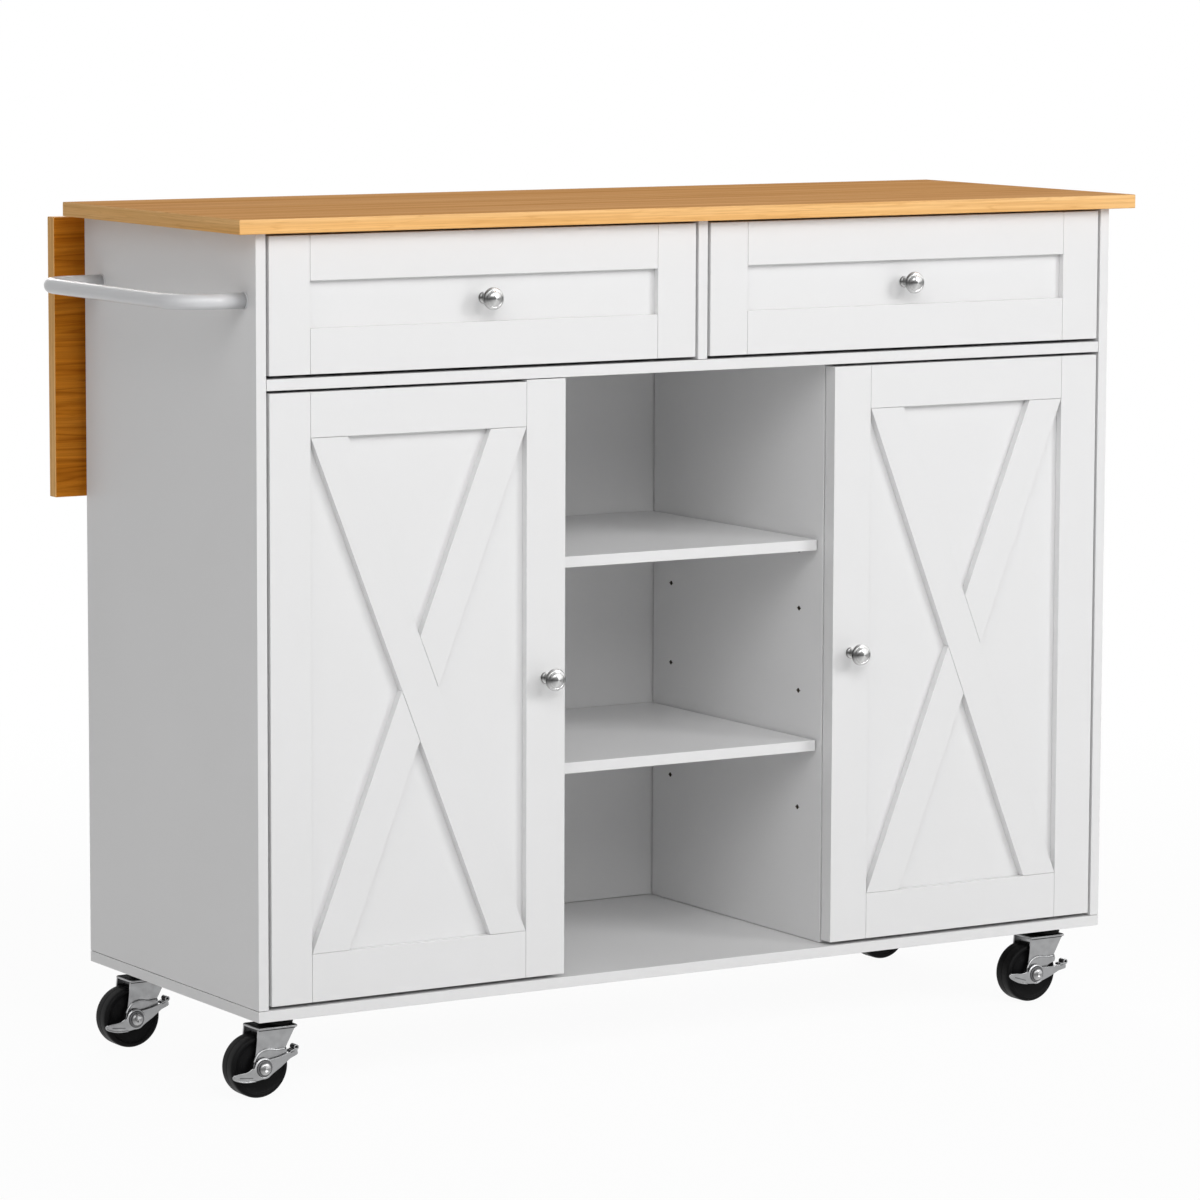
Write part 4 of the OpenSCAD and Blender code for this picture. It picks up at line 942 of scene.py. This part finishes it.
def forkOutline():
    c = caster
    top = c["forkTop"] - c["axleUp"] - 1.2
    return ([(c["plateBack"] + 0.6, top), (c["footBack"] + 1.5, 16)]
            + arc((0, 0), c["eyeRadius"], 165, 330, 14)
            + arc((c["footFront"] - 4, c["footLow"] + 4), 4, 280, 340, 4)
            + [(c["plateFront"] - 3.0, top - 1.5), (c["plateFront"] - 3.4, top)])


def plateOutline(inset, round):
    c = caster
    half = c["forkHalf"] + c["rim"] - inset
    back, front = c["plateBack"] + inset, c["plateFront"] - inset
    return roundedCorners([(back, -half), (front, -half), (front, half), (back, half)], round)


def addFork(position):
    c = caster
    middle = casterFrame(position)
    half, top, thick = c["forkHalf"], c["forkTop"], c["plateThick"]
    bm = bmesh.new()
    for out in (half - c["sheet"], -half):
        sheetPart(bm, forkOutline(), c["sheet"], facing(middle, out), ease=c["legEase"],
                  holes=[circle(c["boltHole"], 24)])
    stemHole = circle(c["stemHole"], 28, (c["trail"], 0))
    sheetPart(bm, plateOutline(0, c["plateRound"]), thick,
              along((0, 0, 1), (middle.x, middle.y, top - thick)), ease=c["plateEase"], holes=[stemHole])
    # painted shade: a thin black sheet on the plate's top stands in for the shade and dark reflection under
    # the cabinet, and a dark strip on each leg below the plate stands in for the shadow under the bend
    sheetPart(bm, plateOutline(c["shadeSheetInset"], c["shadeSheetRound"]), c["shadeSheetThick"],
              along((0, 0, 1), (middle.x, middle.y, top - c["shadeSheetSunk"])), ease=0, holes=[stemHole],
              material=3)
    under, back, ahead = top - c["axleUp"] - thick, c["plateBack"] + 1.2, c["plateFront"] - 3.4
    shadeLineLow = under - c["shadeLineHigh"]
    line = [(back, shadeLineLow), (ahead, shadeLineLow), (ahead, under), (back, under)]
    for out in (half, -half - c["shadeLineThick"]):
        sheetPart(bm, line, c["shadeLineThick"], facing(middle, out), ease=0, material=3)
    for inward in (1, -1):
        # the rounded inner bend between plate and leg
        bend = c["bendRadius"]
        fillet = [(0, 0)] + arc((bend, -bend), bend, 90, 180, 5)
        place = Matrix.Scale(mm, 4) @ Matrix.Translation(
            (middle.x + back, middle.y + inward * (c["sheet"] - half), top - c["sheet"])) @ Matrix(
            ((0, 0, 1, 0), (inward, 0, 0, 0), (0, 1, 0, 0), (0, 0, 0, 1)))
        sheetPart(bm, fillet, c["plateFront"] - c["plateBack"] - 2.8, place, ease=0)
    turned = facing(middle)
    face, spacer, washer = c["leverOut"] + c["leverThick"] + 0.3, c["spacerRadius"], c["washerRadius"]
    axle = c["axleRadius"]
    lathe(bm, [(0, -half - 5), (axle - 0.6, -half - 5), (axle, -half - 4.4), (axle, face)], turned, 28)
    lathe(bm, [(axle, half), (spacer - 0.3, half), (spacer, half + 0.3), (spacer, half + 2.7),
               (spacer - 0.3, half + 3), (axle, half + 3)], turned, 36, 1)
    lathe(bm, [(axle, face), (washer, face), (washer, face + 0.7), (washer - 0.3, face + 1),
               (axle, face + 1)], turned, 36, 1)
    boltHead(bm, turned, face + 1)
    hexNut(bm, along((0, 1, 0), (middle.x, middle.y + half, middle.z)), c["nutWide"], c["nutThick"])
    springPlate(bm, middle)
    name = spaced(position) + "Fork"
    addPiece(name, bm, position + "_swivel", [zincSteel, darkSteel, turnedSteel, blackCover],
             stands=[position + "_fork"], zero=middle)


def boltHead(bm, place, low):
    # a low domed head with a turned groove and a blind centre
    r, high = caster["boltRadius"], caster["boltHigh"]
    lathe(bm, [(0, low), (r, low), (r, low + 1.2)]
          + smoothLine([(r, low + 1.2), (r - 0.7, low + 2.3), (r - 2.0, low + 3.1), (2.6, low + high)], 3)[1:]
          + [(2.2, low + high - 0.7), (0, low + high - 0.9)], place, 36, 2)


def springPlate(bm, middle):
    # the formed plate that humps over the hub between leg and lever, with a rolled upper rim
    crest = [(-9.5, 6.0), (-7.0, 11.5), (-2.5, 16.2), (4, 18.5), (10, 18.3), (17, 17.2), (27, 17.8)]
    outline = (smoothLine(crest, 3)[::-1] + arc((0, 0), 10.4, 150, 40, 10)
               + [(18, 8.5), (27.2, 11.5), (28.2, 15.5)])
    place = facing(middle, caster["forkHalf"])
    sheetPart(bm, outline, caster["humpThick"], place, ease=0.3)
    swept(bm, crest, 0.5, caster["humpRim"], 12, place)


def leverOutline():
    # tail on the left, eye in the middle, arm to the foot tab on the right
    return ([(-20, -2.3), (-30, -3.6), (-35.4, -4.6), (-36.4, -5.6), (-36.0, -6.8), (-30, -9.6), (-21, -12),
             (-8, -11.9)] + arc((0, 0), 11, 262, 300, 4)
            + [(10, -6), (19, -0.5), (30, 7.5), (37.6, 10.6), (38.8, 11.8), (38.4, 14.8), (37.2, 15.9),
               (30, 14.3), (19, 10.8)] + arc((0, 0), 11, 52, 172, 10))


def addLever(position):
    c = caster
    middle, thick = casterFrame(position), c["leverThick"]
    pressed = Matrix.Rotation(-math.radians(c["brakeOn"].get(position, 0)), 4, "Z")
    place = facing(middle, c["leverOut"]) @ pressed
    bm = bmesh.new()
    sheetPart(bm, leverOutline()[::-1], thick, place, ease=0.4, holes=[circle(c["boltHole"], 24)])
    lathe(bm, [(8.6, thick - 0.1), (8.6, thick + 0.15), (9.2, thick + 0.55), (9.9, thick + 0.55),
               (10.5, thick + 0.1), (10.7, thick - 0.1)], place, 40)
    swept(bm, [(-36.0, -5.4), (-35.0, -7.6), (-30, -9.9), (-21, -11.9), (-10, -11.9)], thick, 0.85, 10, place)
    sheetPart(bm, roundedCorners([(-29, -7.6), (-13, -9.0), (-13, -8.0), (-28, -6.5)], 0.4), 0.3,
              place @ Matrix.Translation((0, 0, thick - 0.1)), ease=0, material=1)
    swept(bm, [(-35.4, -4.4), (-28, -3.3), (-19, -2.2), (-13, 1.4)], thick - 0.1, 0.7, 10, place)
    footTab(bm, place)
    addPiece(spaced(position) + "BrakeLever", bm, position + "_brake", [zincSteel, darkSteel],
             stands=[position + "_brake_lever"], zero=middle)


def footTab(bm, place):
    # the arm's end folds back over the tread in a ridged lug that ends in an open roll
    deep = caster["lugDeep"]
    back = Matrix.Translation((0, 0, caster["leverThick"] - deep))
    section = roundedCorners([(30.6, 12.6), (38.4, 15.7), (37.6, 18.0), (29.8, 14.9)], 0.9)
    sheetPart(bm, section, deep, place @ back, ease=0.4)
    for step in range(2):
        x, y = 31.0 + 2.2 * step, 15.1 + 0.88 * step
        ridge = roundedCorners([(x, y), (x + 1.0, y + 0.4), (x + 0.8, y + 1.0), (x - 0.2, y + 0.6)], 0.2)
        sheetPart(bm, ridge, caster["ridgeDeep"], place @ back @ Matrix.Translation((0, 0, 0.5)), ease=0)
    roll = place @ back @ Matrix.Translation((37.0, 18.3, 0))
    lathe(bm, [(1.7, 0.3), (2.7, 0), (2.9, 0.3), (2.9, 9.3), (2.6, 9.6), (1.9, 9.6), (1.7, 9.3)], roll, 24)
    lathe(bm, [(1.7, 9.3), (1.7, 0.3)], roll, 24, 1)
    lathe(bm, [(0, 2.0), (1.75, 2.0)], roll, 24, 1)


def addWheel(position):
    c = caster
    middle = casterFrame(position)
    bm = bmesh.new()
    r, half, hub = c["wheelRadius"], c["wheelHalf"], c["hubRadius"]
    side = [(hub, half - 2.0), (14, half - 2.0), (14.4, half - 1.6), (20, half - 1.6), (20.3, half - 2.1),
            (26.2, half - 2.1), (27, half - 0.8), (28.0, half - 0.1)]
    tread = smoothLine([side[-1], (30.2, half - 0.4), (31.7, half - 1.5), (32.4, half - 3.4),
                        (r, half - 6.5)], 3)
    rubber = side + tread[1:] + [(r, 0.45), (r - 0.25, 0.3)]
    hubHalf = c["forkHalf"] - c["sheet"] - 0.3
    core = [(c["boltHole"], hubHalf), (hub - 0.6, hubHalf), (hub, hubHalf - 0.6), (hub, half - 2.6)]
    for line, sides, material in ((rubber, 72, 0), (core, 48, 1)):
        lathe(bm, line + [(x, -h) for x, h in reversed(line)], facing(middle), sides, material)
    addPiece(spaced(position) + "Wheel", bm, position + "_roller", [tyreRubber, hubPlastic],
             stands=[position + "_wheel"], zero=middle)


def addStems():
    c = caster
    bm = bmesh.new()
    low, top, r, stem = c["forkTop"] + 0.3, c["cabinetFoot"], c["raceRadius"], c["stemRadius"]
    # the race is near black: painted shade for the dark gap under the cabinet
    race = ([(0, low - 4.6), (6.6, low - 4.6), (7.5, low - 3.8), (7.5, low - 2.6), (5, low - 2.6), (5, low)]
            + smoothLine([(r - 5, low), (r - 1.2, low + 0.4), (r, low + 1.6), (r, low + 4.4)], 3)
            + [(r - 1.6, low + 4.8), (r - 1.6, low + 5.6), (r, low + 6.0), (r, top - 0.6), (r - 0.6, top),
               (stem, top)])
    for position in positions:
        middle = casterFrame(position)
        place = along((0, 0, 1), (middle.x + c["trail"], middle.y, 0))
        lathe(bm, race, place, 48)
        lathe(bm, [(stem, top), (stem, top + 9), (stem - 1, top + 10), (0, top + 10)], place, 28, 1)
    bmesh.ops.remove_doubles(bm, verts=bm.verts, dist=1e-7)
    addPiece("casterStems", bm, "cabinet", [blackCover, zincSteel], stands=["caster_stems"])


positions = ["front_left", "front_right", "rear_left", "rear_right"]
for position in positions:
    addFork(position)
    addLever(position)
    addWheel(position)
addStems()
print("casters done")


# floor, lamps and camera

stage = {"floorSize": 24.0, "floorColour": (0.86, 0.86, 0.86, 1), "whiteShare": 0.945, "whiteFrom": 0.9,
         "whiteBeyond": 2.4}


def makeFloor():
    bpy.ops.mesh.primitive_plane_add(size=stage["floorSize"], location=(0, 0, 0))
    floor = bpy.context.object
    floor.name = "floor"
    material = bpy.data.materials.new("paleFloor")
    material.use_nodes = True
    tree = material.node_tree
    tree.nodes.clear()
    out = addNode(tree, "ShaderNodeOutputMaterial")
    soft = feed(addNode(tree, "ShaderNodeBsdfDiffuse"), Color=stage["floorColour"])
    glow = feed(addNode(tree, "ShaderNodeEmission"), Color=(1, 1, 1, 1))
    path = addNode(tree, "ShaderNodeLightPath").outputs
    seen = mathNode(tree, "ADD", path["Is Camera Ray"], path["Is Glossy Ray"], clamp=True)
    # the floor turns to plain white away from the object, so that no horizon shows
    reach = vectorNode(tree, "LENGTH", addNode(tree, "ShaderNodeTexCoord").outputs["Object"])
    white = remap(tree, reach, stage["whiteFrom"], stage["whiteBeyond"], stage["whiteShare"], 1.0)
    mix = addNode(tree, "ShaderNodeMixShader")
    for socket, value in zip(mix.inputs, (mathNode(tree, "MULTIPLY", seen, white), soft.outputs[0],
                                          glow.outputs[0])):
        plug(socket, value)
    plug(out.inputs[0], mix.outputs[0])
    floor.data.materials.append(material)


# each lamp's place, size and power
lamps = {
    "key": ((2.4, -3.8, 2.4), 1.8, 66.0),
    "front": ((-0.2, -4.4, 3.4), 2.8, 62.0),
    "left": ((-1.8, -3.4, 3.0), 3.0, 44.0),
    "side": ((-3.6, -2.2, 2.6), 3.0, 24.0),
    "back": ((1.6, 3.6, 2.6), 3.0, 100.0),
}
lampAim = (0, 0, 0.45)
world = {"light": 0.16, "white": 1.0}


def makeLamps():
    for name, (place, size, power) in lamps.items():
        light = bpy.data.lights.new(name, "AREA")
        light.shape, light.size, light.energy = "DISK", size, power
        body = bpy.data.objects.new(name, light)
        scene.collection.objects.link(body)
        body.location = place
        body.rotation_euler = (Vector(lampAim) - Vector(place)).to_track_quat("-Z", "Y").to_euler()


def makeWorld():
    sky = bpy.data.worlds.new("studio")
    scene.world = sky
    sky.use_nodes = True
    tree = sky.node_tree
    path = addNode(tree, "ShaderNodeLightPath").outputs
    seen = mathNode(tree, "ADD", path["Is Camera Ray"], path["Is Transmission Ray"], clamp=True)
    seen = mathNode(tree, "ADD", seen, path["Is Glossy Ray"], clamp=True)
    feed(tree.nodes["Background"], Color=(1, 1, 1, 1),
         Strength=mathNode(tree, "ADD", mathNode(tree, "MULTIPLY", seen, world["white"] - world["light"]),
                           world["light"]))


cameraSet = {"place": (-2.98529, -4.87699, 1.18232), "yaw": 31.675, "pitch": 7.172, "roll": 0.206,
             "focal": 5312.2, "frameWidth": 1200, "sensor": 36.0, "nearest": 0.05, "farthest": 60.0}


def makeCamera():
    data = bpy.data.cameras.new("viewpoint")
    camera = bpy.data.objects.new("viewpoint", data)
    scene.collection.objects.link(camera)
    data.sensor_width = cameraSet["sensor"]
    data.lens = cameraSet["focal"] / cameraSet["frameWidth"] * cameraSet["sensor"]
    yaw, pitch, roll = (math.radians(cameraSet[k]) for k in ("yaw", "pitch", "roll"))
    camera.matrix_world = (Matrix.Translation(cameraSet["place"]) @ Matrix.Rotation(-yaw, 4, "Z")
                           @ Matrix.Rotation(math.pi / 2 - pitch, 4, "X") @ Matrix.Rotation(roll, 4, "Z"))
    data.clip_start, data.clip_end = cameraSet["nearest"], cameraSet["farthest"]
    scene.camera = camera


makeFloor()
makeLamps()
makeWorld()
makeCamera()
scene.view_settings.view_transform = "Standard"
print("scene complete")
